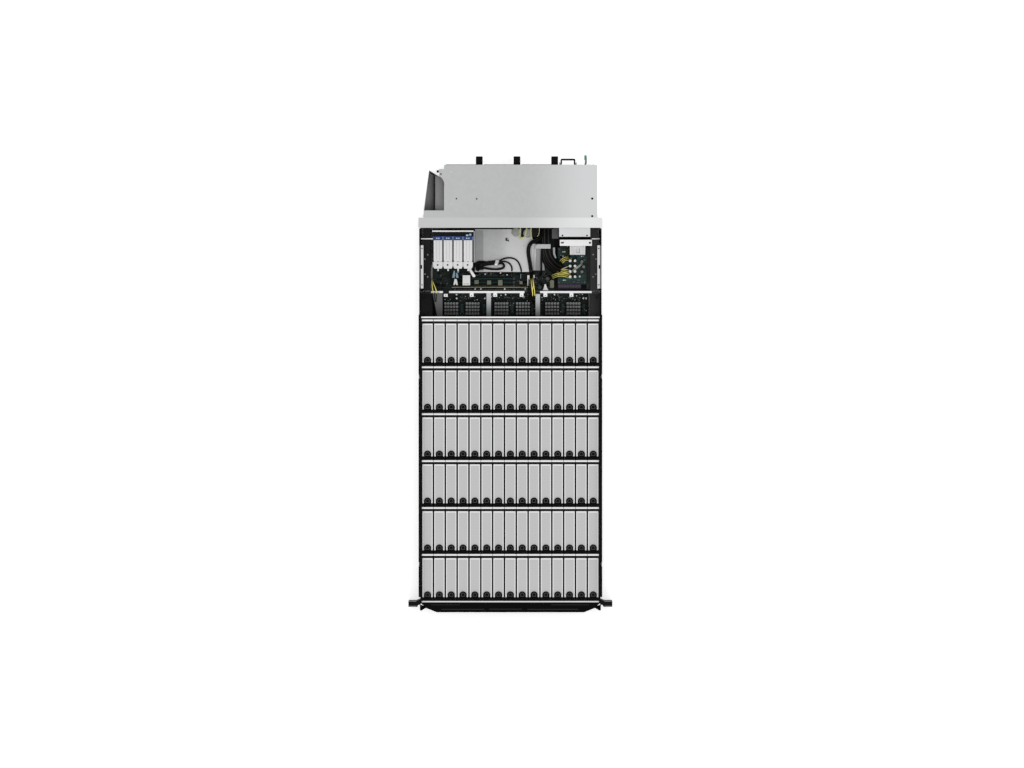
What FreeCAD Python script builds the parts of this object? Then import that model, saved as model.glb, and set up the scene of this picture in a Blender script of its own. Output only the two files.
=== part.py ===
import FreeCAD, Part
import math
import os

# Rackmount storage server, 4U, top-loading, seen with its top cover off.
# Millimetres. +X is to the right seen from the front, +Y runs to the rear, +Z is up.
# The origin is under the middle of the whole outline, on the surface it rests on.

Vec = FreeCAD.Vector

# Sheet metal and running gaps
sheet = 1.2
seat_gap = 0.3
slide_gap = 0.4

# One drive in its tray, standing upright
drive_thickness = 26.1
drive_depth = 101.6
drive_length = 147.0
handle_thickness = 3.0
latch_thickness = 3.0
latch_bar_depth = 7.5
latch_tab_half = 8.5
latch_tab_length = 14.0
latch_crown_half = 4.0

# Drive bay
drive_rows = 6
drive_columns = 15
drive_side_gap = 1.9
drive_front_gap = 1.2
drive_rear_gap = 4.2
bay_side_gap = 1.8
crossbar_flange = 4.0
crossbar_web = 1.5
crossbar_margin = 0.6
backplane_standoff = 4.0
backplane_thickness = 2.4
backplane_margin = 1.0
socket_height = 7.9
socket_width = 12.0
socket_length = 42.0

# Lengths of the zones behind the drive bay, front to rear
midplane_length = 63.0
rail_depth = 4.5
compartment_length = 149.5
brace_depth = 24.0
rear_length = 125.0

# Chassis shell
top_margin = 5.6
rail_thickness = 4.7
rail_height = 56.0
rail_web = 2.0
rail_start = 12.0
rail_notch_length = 10.0
rail_notch_spots = (90.0, 535.0)
bay_flange = 2.2
side_bar_width = 6.0
side_bar_height = 4.0
side_bar_margin = 6.0
side_bar_length = 102.0
side_bar_notch = 9.0
brace_lip = 3.4
rear_step_in = 7.7

# Front bezel, its hooks and the power button
bezel_depth = 22.7
bezel_wall = 3.0
bezel_front_half = 174.0
bezel_shoulder_half = 199.7
bezel_shoulder_depth = 12.5
bezel_foot = 5.0
bezel_slot_rows = 5
bezel_slot_columns = 3
bezel_slot_height = 14.0
bezel_slot_gap = 12.0
hook_height = 36.0
hook_step = 3.0
button_radius = 5.0
button_length = 9.0

# Rack ears; with the chassis between them they span the 482.6 mm of a 19-inch rack
ear_reach = 23.6
rack_hole_edge = 8.75
rack_hole_spacing_z = 101.6
rack_slot_radius = 3.4
rack_slot_length = 10.3
ear_depth = 13.5
ear_rear = 3.5
ear_flange = 3.0
ear_margin = 6.0
ear_gusset = 4.3

# Rear section: fan modules, power supplies and partitions
cover_gap = 0.8
fan_width = 87.5
fan_height = 84.0
fan_length = 92.0
fan_pitch = 89.3
fan_bore_radius = 38.5
fan_guard_thickness = 2.0
fan_guard_bar = 2.5
fan_hub_radius = 18.0
fan_hub_sides = 16
fan_hub_length = 30.0
fan_blade_tip_gap = 1.4
fan_blade_count = 5
fan_blade_chord = 26.0
fan_blade_thickness = 1.6
fan_blade_pitch = 38.0
fan_handle_width = 16.0
fan_handle_height = 46.0
fan_handle_reach = 20.0
fan_handle_wall = 5.0
supply_width = 73.5
supply_height = 40.0
supply_length = 170.0
supply_spacing = 1.0
supply_wall_gap = 0.5
bail_wire_radius = 1.75
bail_width = 35.0
bail_reach = 15.0
bail_bend = 6.0
bail_ear = 3.0
lever_width = 5.0
lever_height = 14.0
lever_reach = 23.0
lever_root = 8.0
lever_pocket_gap = 2.0
lever_from_edge = 11.0
inlet_width = 15.0
inlet_height = 25.0
inlet_depth = 14.0
fan_first_x = -109.5
cover_step = 17.0
cover_cut_right = -157.0
cover_cut_straight = 56.0
taper_half = 192.6
taper_end = 112.8
notch_left = -169.0
notch_front = 98.5
notch_rear = 115.0
duct_floor_left = -178.6
duct_flange_drop = 45.0
port_width = 17.0
port_height = 16.0
port_depth = 22.0
port_count = 6
port_pitch = 24.0
port_first_x = -100.0
vent_count = 6
vent_width = 5.0

# Electronics compartment
board_standoff = 6.0
board_thickness = 2.0
board_half_left = 184.0
board_right = 104.0
heatsink_width = 60.0
heatsink_depth = 76.0
heatsink_height = 56.0
heatsink_base = 6.0
heatsink_fins = 9
heatsink_fin_thickness = 1.6
memory_length = 133.0
memory_height = 31.0
memory_thickness = 4.0
memory_pitch = 8.8
memory_count = 4
card_count = 4
card_pitch = 23.7
card_first_x = -171.5
card_thickness = 1.6
card_length = 88.0
card_top_drop = 27.0
guide_width = 20.3
guide_wall = 1.6
guide_height = 44.0
guide_body_length = 52.0
guide_flare_length = 15.0
guide_flare_drop = 10.0
baffle_left = -84.0
baffle_right = 51.0
baffle_height = 96.0
baffle_hole_radius = 4.0
ledge_drop = 24.0
ledge_width = 16.5
power_board_left = 112.6
power_board_right = 181.0
power_board_length = 88.0
power_board_height = 46.0
power_board_start = 17.0
plug_rows = 4
plug_columns = 2
plug_first_x = 142.0
plug_first_y = 36.0
plug_pitch_x = 11.5
plug_pitch_y = 12.7
plug_width = 9.0
plug_depth = 7.0
plug_height = 14.0
bracket_depth = 14.5
bracket_drop = 16.0
bracket_left = 117.0
bracket_right = 193.0
bracket_hole_radius = 2.4
ribbed_left = 141.0
ribbed_right = 177.0
ribbed_depth = 21.0
ribbed_height = 40.0
rib_count = 6
midplane_half = 186.0
midplane_block_width = 34.5
midplane_block_depth = 32.0
midplane_block_height = 46.0
midplane_block_setback = 11.0
midplane_block_spots = (-140.5, -89.9, -21.3, 29.8, 99.4, 150.0)
divider_spots = (-56.5, 59.6)
divider_width = 10.5
left_bracket_edge = -161.0
left_bracket_rear = 23.0
left_bracket_front = 11.0
rail_tab_spots = (-153.0, -91.6, -36.0, 26.7, 82.8, 144.6)
rod_setback = 27.0

# Wiring
cable_sides = 4
signal_diameter = 8.8
fan_lead_diameter = 8.8
harness_diameter = 19.2
wire_diameter = 5.2
wire_gap = 18.0
wire_gap_spots = (-177.0, 55.0)

# Places worked out from the sizes above
row_pitch = crossbar_flange + drive_front_gap + drive_depth + drive_rear_gap
column_pitch = drive_thickness + drive_side_gap
bay_length = crossbar_flange + drive_rows * row_pitch
rail_y = bay_length + midplane_length
compartment_y = rail_y + rail_depth
brace_y = compartment_y + compartment_length
rear_y = brace_y + brace_depth
chassis_depth = rear_y + rear_length
wall_inner = drive_columns * column_pitch / 2 + bay_side_gap
wall_outer = wall_inner + sheet
body_half = wall_outer + rail_thickness
rack_half = body_half + ear_reach
rear_half_width = wall_outer - rear_step_in
rear_reach = max(fan_handle_reach, lever_reach, bail_reach)
front_plane = bezel_depth - (bezel_depth + chassis_depth + rear_reach) / 2

backplane_z = sheet + backplane_standoff
socket_z = backplane_z + backplane_thickness
drive_z = socket_z + socket_height + seat_gap
drive_top = drive_z + drive_length
handle_z = drive_top + seat_gap
handle_top = handle_z + handle_thickness
latch_z = handle_top + seat_gap
latch_top = latch_z + latch_thickness
crossbar_top = latch_top + crossbar_margin
body_height = latch_top + top_margin
wall_top = body_height - sheet

fan_z = wall_top - cover_gap - fan_height
shelf_top = fan_z - seat_gap
shelf_z = shelf_top - sheet
board_z = sheet + board_standoff
board_top = board_z + board_thickness
ledge_z = body_height - ledge_drop
ear_mid_z = body_height / 2
card_top = body_height - card_top_drop
baffle_top = baffle_height + sheet
power_board_y = compartment_y + power_board_start
power_board_top = power_board_height + board_thickness
bracket_top = wall_top - bracket_drop
bracket_y = power_board_y + power_board_length + board_thickness
baffle_y = power_board_y + 2 * bracket_depth
fan_right = fan_first_x + 2 * fan_pitch + fan_width / 2
supply_left = fan_right + 2 * slide_gap + sheet + supply_wall_gap
supply_front = chassis_depth - supply_length
rear_inner = rear_half_width - sheet
duct_wall = fan_first_x - fan_width / 2 - slide_gap
button_x = bezel_front_half - bezel_slot_gap / 2
cable_corner = math.sqrt(math.pi / (2 * cable_sides * math.sin(2 * math.pi / cable_sides)))
button_z = ear_mid_z


def at_y(distance):
    """Y of a place given by its distance behind the chassis front plane."""
    return front_plane + distance


def block(x0, x1, y0, y1, z0, z1):
    """A box between two corners; y is given behind the chassis front plane."""
    return Part.makeBox(x1 - x0, y1 - y0, z1 - z0, Vec(x0, at_y(y0), z0))


def fuse(shapes):
    """One solid out of touching shapes, with the seams between flat faces removed."""
    first, rest = shapes[0], shapes[1:]
    return first.fuse(rest).removeSplitter() if rest else first


def plan_prism(points, z0, z1):
    """An outline in plan, given as (x, y) pairs, raised from z0 to z1."""
    corners = [Vec(x, at_y(y), z0) for x, y in points]
    face = Part.Face(Part.makePolygon(corners + corners[:1]))
    return face.extrude(Vec(0, 0, z1 - z0))


def side_prism(points, x0, x1):
    """An outline seen from the side, given as (y, z) pairs, carried from x0 to x1."""
    corners = [Vec(x0, at_y(y), z) for y, z in points]
    face = Part.Face(Part.makePolygon(corners + corners[:1]))
    return face.extrude(Vec(x1 - x0, 0, 0))


def front_prism(points, y0, y1):
    """An outline seen from the front, given as (x, z) pairs, carried from y0 to y1."""
    corners = [Vec(x, at_y(y0), z) for x, z in points]
    face = Part.Face(Part.makePolygon(corners + corners[:1]))
    return face.extrude(Vec(0, y1 - y0, 0))


def rod_along(axis, radius, start, length):
    """A round rod from a start point (x, y behind the front plane, z) along an axis."""
    x, y, z = start
    return Part.makeCylinder(radius, length, Vec(x, at_y(y), z), axis)


def mirrored(shape):
    """The same piece on the other side of the chassis."""
    return shape.mirror(Vec(0, 0, 0), Vec(1, 0, 0))


def save(name, shapes):
    """Write one named piece, or a group of like pieces, to its own file."""
    solids = shapes if isinstance(shapes, list) else [shapes]
    body = solids[0] if len(solids) == 1 else Part.makeCompound(solids)
    for solid in body.Solids:
        if not solid.isValid():
            raise ValueError(name + " has a bad solid")
    body.exportStep(os.path.join("parts", name + ".step"))


def column_x(column):
    """Centre of a drive column, counted from 0 at the left."""
    return (column - (drive_columns - 1) / 2) * column_pitch


def row_start(row):
    """Front face of the drives of a row, counted from 0 at the front."""
    return crossbar_flange + row * row_pitch + drive_front_gap


# Chassis shell

def make_side_wall():
    web = block(wall_inner, wall_outer, 0, rear_y, sheet, wall_top)
    bay = block(wall_inner - bay_flange, wall_inner, 0, bay_length, wall_top - sheet, wall_top)
    return fuse([web, bay])


def make_front_wall():
    profile = [(0, sheet), (sheet, sheet), (sheet, crossbar_top - sheet),
               (crossbar_flange, crossbar_top - sheet), (crossbar_flange, crossbar_top), (0, crossbar_top)]
    wall = side_prism(profile, -wall_inner, wall_inner)
    for column in range(0, drive_columns, 2):
        x = column_x(column)
        vent = block(x - drive_thickness / 2, x + drive_thickness / 2, -sheet, 2 * sheet,
                     drive_z, drive_z + drive_length / 2)
        wall = wall.cut(vent)
    return wall


def make_crossbar(row):
    """A T-shaped beam behind one row of drives, reaching from wall to wall."""
    start = row_start(row) + drive_depth + drive_rear_gap
    end = start + crossbar_flange
    web0 = (start + end - crossbar_web) / 2
    web1 = web0 + crossbar_web
    profile = [(web0, sheet), (web1, sheet), (web1, crossbar_top - sheet), (end, crossbar_top - sheet),
               (end, crossbar_top), (start, crossbar_top), (start, crossbar_top - sheet),
               (web0, crossbar_top - sheet)]
    return side_prism(profile, -wall_inner, wall_inner)


def make_inner_rail():
    """A C-shaped slide member on the outside of a side wall, open to the outside."""
    z0 = ear_mid_z - rail_height / 2
    z1 = ear_mid_z + rail_height / 2
    inner = wall_outer + rail_web
    profile = [(wall_outer, z0), (body_half, z0), (body_half, z0 + rail_web), (inner, z0 + rail_web),
               (inner, z1 - rail_web), (body_half, z1 - rail_web), (body_half, z1), (wall_outer, z1)]
    rail = front_prism(profile, rail_start, bay_length + rail_start)
    for spot in rail_notch_spots:
        rail = rail.cut(block(inner, body_half + rail_web, spot - rail_notch_length / 2,
                              spot + rail_notch_length / 2, z0 - rail_web, z1 + rail_web))
    return rail


def make_cross_brace():
    """The light strip over the compartment's rear edge, with a lip turned down at its front."""
    profile = [(brace_y, wall_top - brace_lip), (brace_y + sheet, wall_top - brace_lip),
               (brace_y + sheet, wall_top), (rear_y, wall_top), (rear_y, body_height),
               (brace_y, body_height)]
    strip = side_prism(profile, -wall_inner + seat_gap, wall_inner - seat_gap)
    ends = block(-body_half, body_half, brace_y, rear_y, wall_top, body_height)
    return fuse([strip, ends])


# Front of the chassis

def bezel_outline(inset, back):
    """Plan of the bezel: a flat front with ends that slant back to the chassis."""
    front = -bezel_depth + inset
    tip = wall_outer - inset
    shoulder = bezel_shoulder_half - inset
    flat = bezel_front_half - inset / 2
    return [(-tip, back), (-shoulder, -bezel_shoulder_depth + inset), (-flat, front),
            (flat, front), (shoulder, -bezel_shoulder_depth + inset), (tip, back)]


def make_bezel():
    top = crossbar_top
    shell = plan_prism(bezel_outline(0, 0), bezel_foot, top)
    hollow = plan_prism(bezel_outline(bezel_wall, sheet), bezel_foot + bezel_wall, top - bezel_wall)
    button_hole = rod_along(Vec(0, 1, 0), button_radius + slide_gap, (button_x, -2 * bezel_depth, button_z),
                            2 * bezel_depth)
    shell = shell.cut(hollow).cut(button_hole)
    field = 2 * bezel_front_half - 2 * bezel_slot_gap
    slot_width = (field - (bezel_slot_columns - 1) * bezel_slot_gap) / bezel_slot_columns
    rows_height = bezel_slot_rows * bezel_slot_height + (bezel_slot_rows - 1) * bezel_slot_gap
    first_z = (bezel_foot + top - rows_height) / 2
    for row in range(bezel_slot_rows):
        z = first_z + row * (bezel_slot_height + bezel_slot_gap)
        for column in range(bezel_slot_columns):
            x = -field / 2 + column * (slot_width + bezel_slot_gap)
            shell = shell.cut(block(x, x + slot_width, -2 * bezel_depth, -bezel_depth + 2 * bezel_wall,
                                    z, z + bezel_slot_height))
    hook = make_bezel_hook()
    return fuse([shell, hook, mirrored(hook)])


def make_bezel_hook():
    """A small tapered grip that stands out of the slanted end of the bezel."""
    inner = bezel_shoulder_half
    outer = wall_outer
    step = hook_step
    front = -bezel_depth + step
    back = -bezel_shoulder_depth
    points = [(inner - step / 3, back - step / 6), (inner + step, back + 2 * step / 3),
              (outer + step / 2, back + 2 * step), (outer + step / 2, front), (outer - step, front),
              (inner + 2 * step, front + step)]
    return plan_prism(points, ear_mid_z - hook_height / 2, ear_mid_z + hook_height / 2)


def make_power_button():
    """A round button in the bezel."""
    face = -bezel_depth + seat_gap
    return round_prism(button_x, button_z, button_radius, fan_hub_sides, face, face + button_length)


def make_rack_ear():
    """A moulded ear with a flat back for the rack post, and pockets round its two screw slots."""
    z0 = ear_margin
    z1 = body_height - ear_margin
    half = rack_half
    front = ear_rear - ear_depth
    inner = wall_outer
    step = body_half + ear_flange
    outline = [(inner, ear_rear + ear_gusset), (step + ear_flange, ear_rear), (half, ear_rear),
               (half, front), (step, front), (body_half, front / 2), (inner, front / 2)]
    ear = plan_prism(outline, z0, z1)
    x = rack_half - rack_hole_edge
    straight = (rack_slot_length - 2 * rack_slot_radius) / 2
    pocket = rack_slot_length / 2 + ear_flange
    for side in (-1, 1):
        z = ear_mid_z + side * rack_hole_spacing_z / 2
        ear = ear.cut(block(x - pocket, half + 1, front - 1, ear_rear - ear_flange, z - pocket, z + pocket))
        ends = [rod_along(Vec(0, 1, 0), rack_slot_radius, (x + end * straight, front, z), 2 * ear_depth)
                for end in (-1, 1)]
        middle = block(x - straight, x + straight, front, front + 2 * ear_depth,
                       z - rack_slot_radius, z + rack_slot_radius)
        ear = ear.cut(fuse(ends + [middle]))
    return ear


# Drive bay

def make_backplane(row):
    """The board under one row of drives on its feet, and its sockets."""
    y0 = row_start(row) + backplane_margin
    y1 = row_start(row) + drive_depth
    half = wall_inner - backplane_margin
    middle = (y0 + y1) / 2
    board = [block(-half, half, y0, y1, backplane_z, socket_z)]
    for x in (-half, half - 2 * socket_width):
        board.append(block(x, x + 2 * socket_width, y0, y1, sheet, backplane_z))
    sockets = []
    for column in range(drive_columns):
        x = column_x(column)
        sockets.append(block(x - socket_width / 2, x + socket_width / 2, middle - socket_length / 2,
                             middle + socket_length / 2, socket_z, socket_z + socket_height))
    return [fuse(board)] + sockets


def make_drive(row, column):
    """A drive in its tray."""
    x0 = column_x(column) - drive_thickness / 2
    y0 = row_start(row)
    return block(x0, x0 + drive_thickness, y0, y0 + drive_depth, drive_z, drive_top)


def make_handle(row, column):
    """The silver lid of a tray, a lever hinged at the drive's rear edge."""
    x0 = column_x(column) - drive_thickness / 2
    y0 = row_start(row)
    return block(x0, x0 + drive_thickness, y0, y0 + drive_depth, handle_z, handle_top)


def make_latch(row, column):
    """The black latch on a handle's front end: a bar with a half-round thumb tab behind it."""
    half = drive_thickness / 2
    x = column_x(column)
    y0 = row_start(row) + seat_gap
    bar = y0 + latch_bar_depth
    crown = bar + latch_tab_length
    shoulder = crown - latch_tab_half + latch_crown_half
    right = [(x + half, y0), (x + half, bar), (x + latch_tab_half, bar), (x + latch_tab_half, shoulder),
             (x + latch_crown_half, crown)]
    left = [(2 * x - side, y) for side, y in reversed(right)]
    return plan_prism(right + left, latch_z, latch_top)


# Connector board behind the drives

def make_midplane_board():
    board = block(-midplane_half, midplane_half, bay_length + seat_gap, rail_y - seat_gap,
                  board_z, board_top)
    pieces = [board]
    for x in (-midplane_half, -board_standoff, midplane_half - 2 * board_standoff):
        pieces.append(block(x, x + 2 * board_standoff, bay_length + board_standoff,
                            rail_y - board_standoff, sheet, board_z))
    return fuse(pieces)


def make_midplane_block(x):
    """A tall connector with a stepped foot."""
    y0 = bay_length + midplane_block_setback
    half = midplane_block_width / 2
    body = block(x - half, x + half, y0, y0 + midplane_block_depth,
                 board_top, board_top + midplane_block_height)
    foot = block(x - half - sheet, x + half + sheet, y0 - sheet, y0 + midplane_block_depth + sheet,
                 board_top, board_top + 3 * sheet)
    return fuse([body, foot])


def make_midplane_brackets():
    """Two folded dividers across the zone and a tapered bracket at its left end."""
    pieces = []
    top = ledge_z
    front = bay_length + seat_gap
    for x in divider_spots:
        profile = [(x, board_top), (x + sheet, board_top), (x + sheet, top - sheet),
                   (x + divider_width, top - sheet), (x + divider_width, top), (x, top)]
        pieces.append(front_prism(profile, front, rail_y))
    edge = left_bracket_edge
    flange = plan_prism([(edge, rail_y), (edge - left_bracket_rear, rail_y),
                         (edge - left_bracket_front, front), (edge, front)], top - sheet, top)
    web = block(edge - sheet, edge, front, rail_y, board_top, top - sheet)
    pieces.append(fuse([flange, web]))
    return pieces


def make_side_bar():
    """A light bar along the top of a side wall, beside the compartment, with a notch in its outer edge."""
    start = compartment_y + side_bar_margin
    end = start + side_bar_length
    middle = (start + end) / 2
    bar = block(wall_inner - side_bar_width, wall_inner, start, end, wall_top - side_bar_height, wall_top)
    return bar.cut(block(wall_inner - side_bar_width / 2, wall_outer, middle - side_bar_notch / 2,
                         middle + side_bar_notch / 2, sheet, body_height))


def make_support_rails():
    """The white rail in front of the compartment, with tabs, two tie rods behind it and two side bars."""
    z0 = ledge_z - 3 * rail_depth
    rail = block(-wall_inner, wall_inner, rail_y, compartment_y, z0, ledge_z)
    for x in wire_gap_spots:
        rail = rail.cut(block(x - wire_gap / 2, x + wire_gap / 2, rail_y, compartment_y,
                              ledge_z - 2 * rail_depth, ledge_z))
    tabs = [rail]
    for x in rail_tab_spots:
        tabs.append(block(x - rail_depth, x + rail_depth, rail_y - 2 * rail_depth, rail_y,
                          ledge_z - sheet, ledge_z))
    rod_y = brace_y - rod_setback
    left_end = card_first_x - guide_width / 2 - guide_wall
    rod_z = ledge_z + sheet
    left = block(-wall_inner, left_end, rod_y, rod_y + 2 * sheet, rod_z, rod_z + 2 * sheet)
    right = block(bracket_right, wall_inner, rod_y, rod_y + 2 * sheet, rod_z, rod_z + 2 * sheet)
    side_bar = make_side_bar()
    return [fuse(tabs), left, right, mirrored(side_bar), side_bar]


# Electronics compartment

def make_motherboard():
    """The main board; its rear part runs under the shelf of the rear section to the ports."""
    y0 = compartment_y + seat_gap
    y1 = chassis_depth - sheet - seat_gap
    outline = [(-board_half_left, y0), (board_right, y0), (board_right, y1), (duct_wall, y1),
               (duct_wall, brace_y), (-board_half_left, brace_y)]
    pieces = [plan_prism(outline, board_z, board_top)]
    for x in (-board_half_left, board_right - board_standoff):
        for y in (y0, brace_y - board_standoff):
            pieces.append(block(x, x + board_standoff, y, y + board_standoff, sheet, board_z))
    return fuse(pieces)


def comb_profile(x0, x1, z0, base, height, fins, thickness):
    """A row of upright fins on a base, as an outline seen from the front."""
    points = [(x0, z0), (x1, z0)]
    gap = (x1 - x0 - fins * thickness) / (fins - 1)
    for fin in reversed(range(fins)):
        left = x0 + fin * (thickness + gap)
        right = left + thickness
        points += [(right, z0 + height), (left, z0 + height)]
        if fin > 0:
            points += [(left, z0 + base), (left - gap, z0 + base)]
    return points


def make_heatsink(side):
    middle = (baffle_left + baffle_right) / 2
    centre = middle + side * (heatsink_width / 2 + board_thickness)
    x0 = centre - heatsink_width / 2
    profile = comb_profile(x0, x0 + heatsink_width, board_top, heatsink_base, heatsink_height,
                           heatsink_fins, heatsink_fin_thickness)
    y1 = brace_y - board_standoff
    return front_prism(profile, y1 - heatsink_depth, y1)


def make_memory(index):
    """One memory module standing in its socket."""
    y = compartment_y + memory_pitch * (index + 0.5)
    x0 = baffle_left - memory_length / 3
    x1 = x0 + memory_length
    thick = memory_thickness / 2
    socket = block(x0 - thick, x1 + thick, y - 2 * thick + sheet / 2, y + 2 * thick - sheet / 2,
                   board_top, board_top + memory_height / 4)
    module = block(x0, x1, y - thick / 2, y + thick / 2, board_top, board_top + memory_height)
    return fuse([socket, module])


def card_x(index):
    return card_first_x + index * card_pitch


def make_card(index):
    """An upright card in its slot, with a plug on its top rear corner."""
    x = card_x(index)
    y1 = brace_y - board_standoff
    y0 = y1 - card_length
    half = card_thickness / 2
    card = block(x - half, x + half, y0, y1, board_top, card_top)
    slot = block(x - 2 * card_thickness, x + 2 * card_thickness,
                 y0 + guide_flare_length, y1 - guide_flare_length, board_top, board_top + plug_height)
    plug_y = y1 - guide_wall * 2
    plug = block(x - guide_width / 2 + guide_wall, x + guide_width / 2 - guide_wall,
                 plug_y - guide_flare_length + seat_gap, plug_y, card_top - guide_height / 2, card_top)
    return fuse([card, slot, plug])


def make_card_guide(index):
    """A white channel over a card: a tongue with a hole in front, a spine and an end bar behind."""
    x = card_x(index)
    half = guide_width / 2
    z0 = card_top + seat_gap
    z1 = z0 + guide_wall
    y1 = brace_y - board_standoff
    body_y = y1 - card_length + guide_flare_length
    body_end = body_y + guide_body_length
    low = z1 - guide_height
    profile = [(x - half, low), (x - half + guide_wall, low), (x - half + guide_wall, z0),
               (x + half - guide_wall, z0), (x + half - guide_wall, low), (x + half, low), (x + half, z1),
               (x - half, z1)]
    channel = front_prism(profile, body_y, body_end)
    tip = body_y - guide_flare_length
    drop = guide_flare_drop
    slope = [(tip, z0 - drop), (body_y, z0), (body_y, z1), (tip, z1 - drop)]
    right_tongue = side_prism(slope, x + sheet, x + half)
    left_tongue = side_prism(slope, x - half, x - sheet)
    spine = block(x - half / 3, x + half / 3, body_end, y1, z0, z1)
    end_bar = block(x - half, x + half, y1 - 2 * guide_wall + seat_gap, y1, z0, z1)
    return fuse([channel, right_tongue, left_tongue, spine, end_bar])


def make_baffle():
    """The folded plate over the main board, standing on its two legs."""
    y0 = baffle_y
    y1 = brace_y - 2 * sheet
    left, right = baffle_left, baffle_right
    profile = [(left, board_top), (left + sheet, board_top), (left + sheet, baffle_height),
               (right - sheet, baffle_height), (right - sheet, board_top), (right, board_top),
               (right, baffle_top), (left, baffle_top)]
    plate = front_prism(profile, y0, y1)
    spot = ((left + right) / 2 + 2 * baffle_hole_radius, y1 - 6 * baffle_hole_radius, baffle_height - sheet)
    hole = rod_along(Vec(0, 0, 1), baffle_hole_radius, spot, 3 * sheet)
    return plate.cut(hole)


def make_compartment_wall():
    """A black inner wall with a ledge turned outward at its top."""
    inner = wall_inner - side_bar_width - ledge_width
    outer = inner + ledge_width
    profile = [(inner, sheet), (inner + sheet, sheet), (inner + sheet, ledge_z - sheet),
               (outer, ledge_z - sheet), (outer, ledge_z), (inner, ledge_z)]
    return front_prism(profile, compartment_y, brace_y)


def make_power_board():
    y1 = power_board_y + power_board_length
    board = block(power_board_left, power_board_right, power_board_y, y1, power_board_height, power_board_top)
    pieces = [board]
    for x in (power_board_left, power_board_right - board_standoff):
        for y in (power_board_y, y1 - board_standoff):
            pieces.append(block(x, x + board_standoff, y, y + board_standoff, sheet, power_board_height))
    return fuse(pieces)


def plug_place(row, column):
    x = plug_first_x + column * plug_pitch_x
    y = compartment_y + plug_first_y + row * plug_pitch_y
    return x, y


def make_power_plug(row, column):
    x, y = plug_place(row, column)
    return block(x - plug_width / 2, x + plug_width / 2, y - plug_depth / 2, y + plug_depth / 2,
                 power_board_top, power_board_top + plug_height)


def make_power_bracket():
    """The white bracket in front of the power supplies, and the ribbed block on it."""
    y1 = bracket_y + bracket_depth
    web = block(bracket_left, supply_left + supply_width, y1 - sheet, y1, sheet, bracket_top)
    bar = block(bracket_left, bracket_right, bracket_y, y1, bracket_top - sheet, bracket_top)
    bracket = fuse([web, bar])
    for x in (bracket_left + 2 * bracket_hole_radius, bracket_right - 2 * bracket_hole_radius):
        spot = (x, bracket_y + bracket_depth / 2, bracket_top - 2 * sheet)
        bracket = bracket.cut(rod_along(Vec(0, 0, 1), bracket_hole_radius, spot, 4 * sheet))
    foot = bracket_top - sheet - ribbed_height
    ribs = comb_profile(ribbed_left, ribbed_right, foot, ribbed_height - 2 * sheet, ribbed_height,
                        rib_count, 2 * sheet)
    ribbed = front_prism(ribs, bracket_y - ribbed_depth, y1 - sheet)
    return [bracket, ribbed]


# Wiring

def cable_section(centre, direction, axis, diameter):
    """A flat-sided face square to a direction, set to a bend's axis, with the cable's area."""
    radius = diameter * cable_corner
    across = axis.cross(direction)
    turns = [2 * math.pi * (side + 0.5) / cable_sides for side in range(cable_sides + 1)]
    corners = [centre + axis * (radius * math.cos(turn)) + across * (radius * math.sin(turn))
               for turn in turns]
    return Part.Face(Part.makePolygon(corners))


def make_cable(points, diameter):
    """A cable along straight runs joined by tangent arcs as large as the runs allow.

    Half way along a run the flat sides change over to the axis of the next bend.
    """
    corners = [Vec(x, at_y(y), z) for x, y, z in points]
    section = None
    pieces = []
    radii = []
    length = 0.0
    start = corners[0]
    for before, corner, after in zip(corners, corners[1:], corners[2:]):
        into = (corner - before).normalize()
        out = (after - corner).normalize()
        turn = into.getAngle(out)
        reach = 0.45 * min((corner - before).Length, (after - corner).Length)
        radius = reach / math.tan(turn / 2)
        arc_start = corner - into * reach
        axis = into.cross(out).normalize()
        centre = arc_start + axis.cross(into) * radius
        length += (arc_start - start).Length + radius * turn
        if section:
            halfway = (start + arc_start) / 2
            pieces.append(section.extrude(halfway - start))
            start = halfway
        section = cable_section(start, into, axis, diameter)
        pieces.append(section.extrude(arc_start - start))
        section.translate(arc_start - start)
        pieces.append(section.revolve(centre, axis, math.degrees(turn)))
        section.rotate(centre, axis, math.degrees(turn))
        radii.append(round(radius, 1))
        start = corner + out * reach
    pieces.append(section.extrude(corners[-1] - start))
    length += (corners[-1] - start).Length
    tube = fuse(pieces)
    ideal = math.pi * diameter ** 2 / 4 * length
    print("cable length", round(length), "radii", radii, "volume ratio", round(tube.Volume / ideal, 4))
    return tube


def make_black_cables():
    """A signal bundle looped over the baffle, a fan lead and the power harness."""
    lie = baffle_top + seat_gap + signal_diameter * cable_corner
    foot = board_top + seat_gap
    front = baffle_y - signal_diameter * cable_corner - slide_gap
    signal = [(-74, front, foot), (-72, front - 1, lie + 20), (-20, front + 34, lie),
              (27, front - 1, lie + 20), (25, front, foot)]
    on_shelf = shelf_top + seat_gap + fan_lead_diameter * cable_corner
    over = baffle_top + seat_gap + fan_lead_diameter
    fan_lead = [(66, rear_y + 18, on_shelf), (43, brace_y - 50, over + 2), (68, front - 1, over + 10),
                (70, front - 5, foot)]
    on_shelf = shelf_top + seat_gap + harness_diameter * cable_corner
    harness = [(92, rear_y + 18, on_shelf), (94, brace_y - 60, over + 4), (125, brace_y - 86, over - 8),
               (125, brace_y - 87, power_board_top + seat_gap)]
    return [make_cable(signal, signal_diameter), make_cable(fan_lead, fan_lead_diameter),
            make_cable(harness, harness_diameter)]


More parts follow.
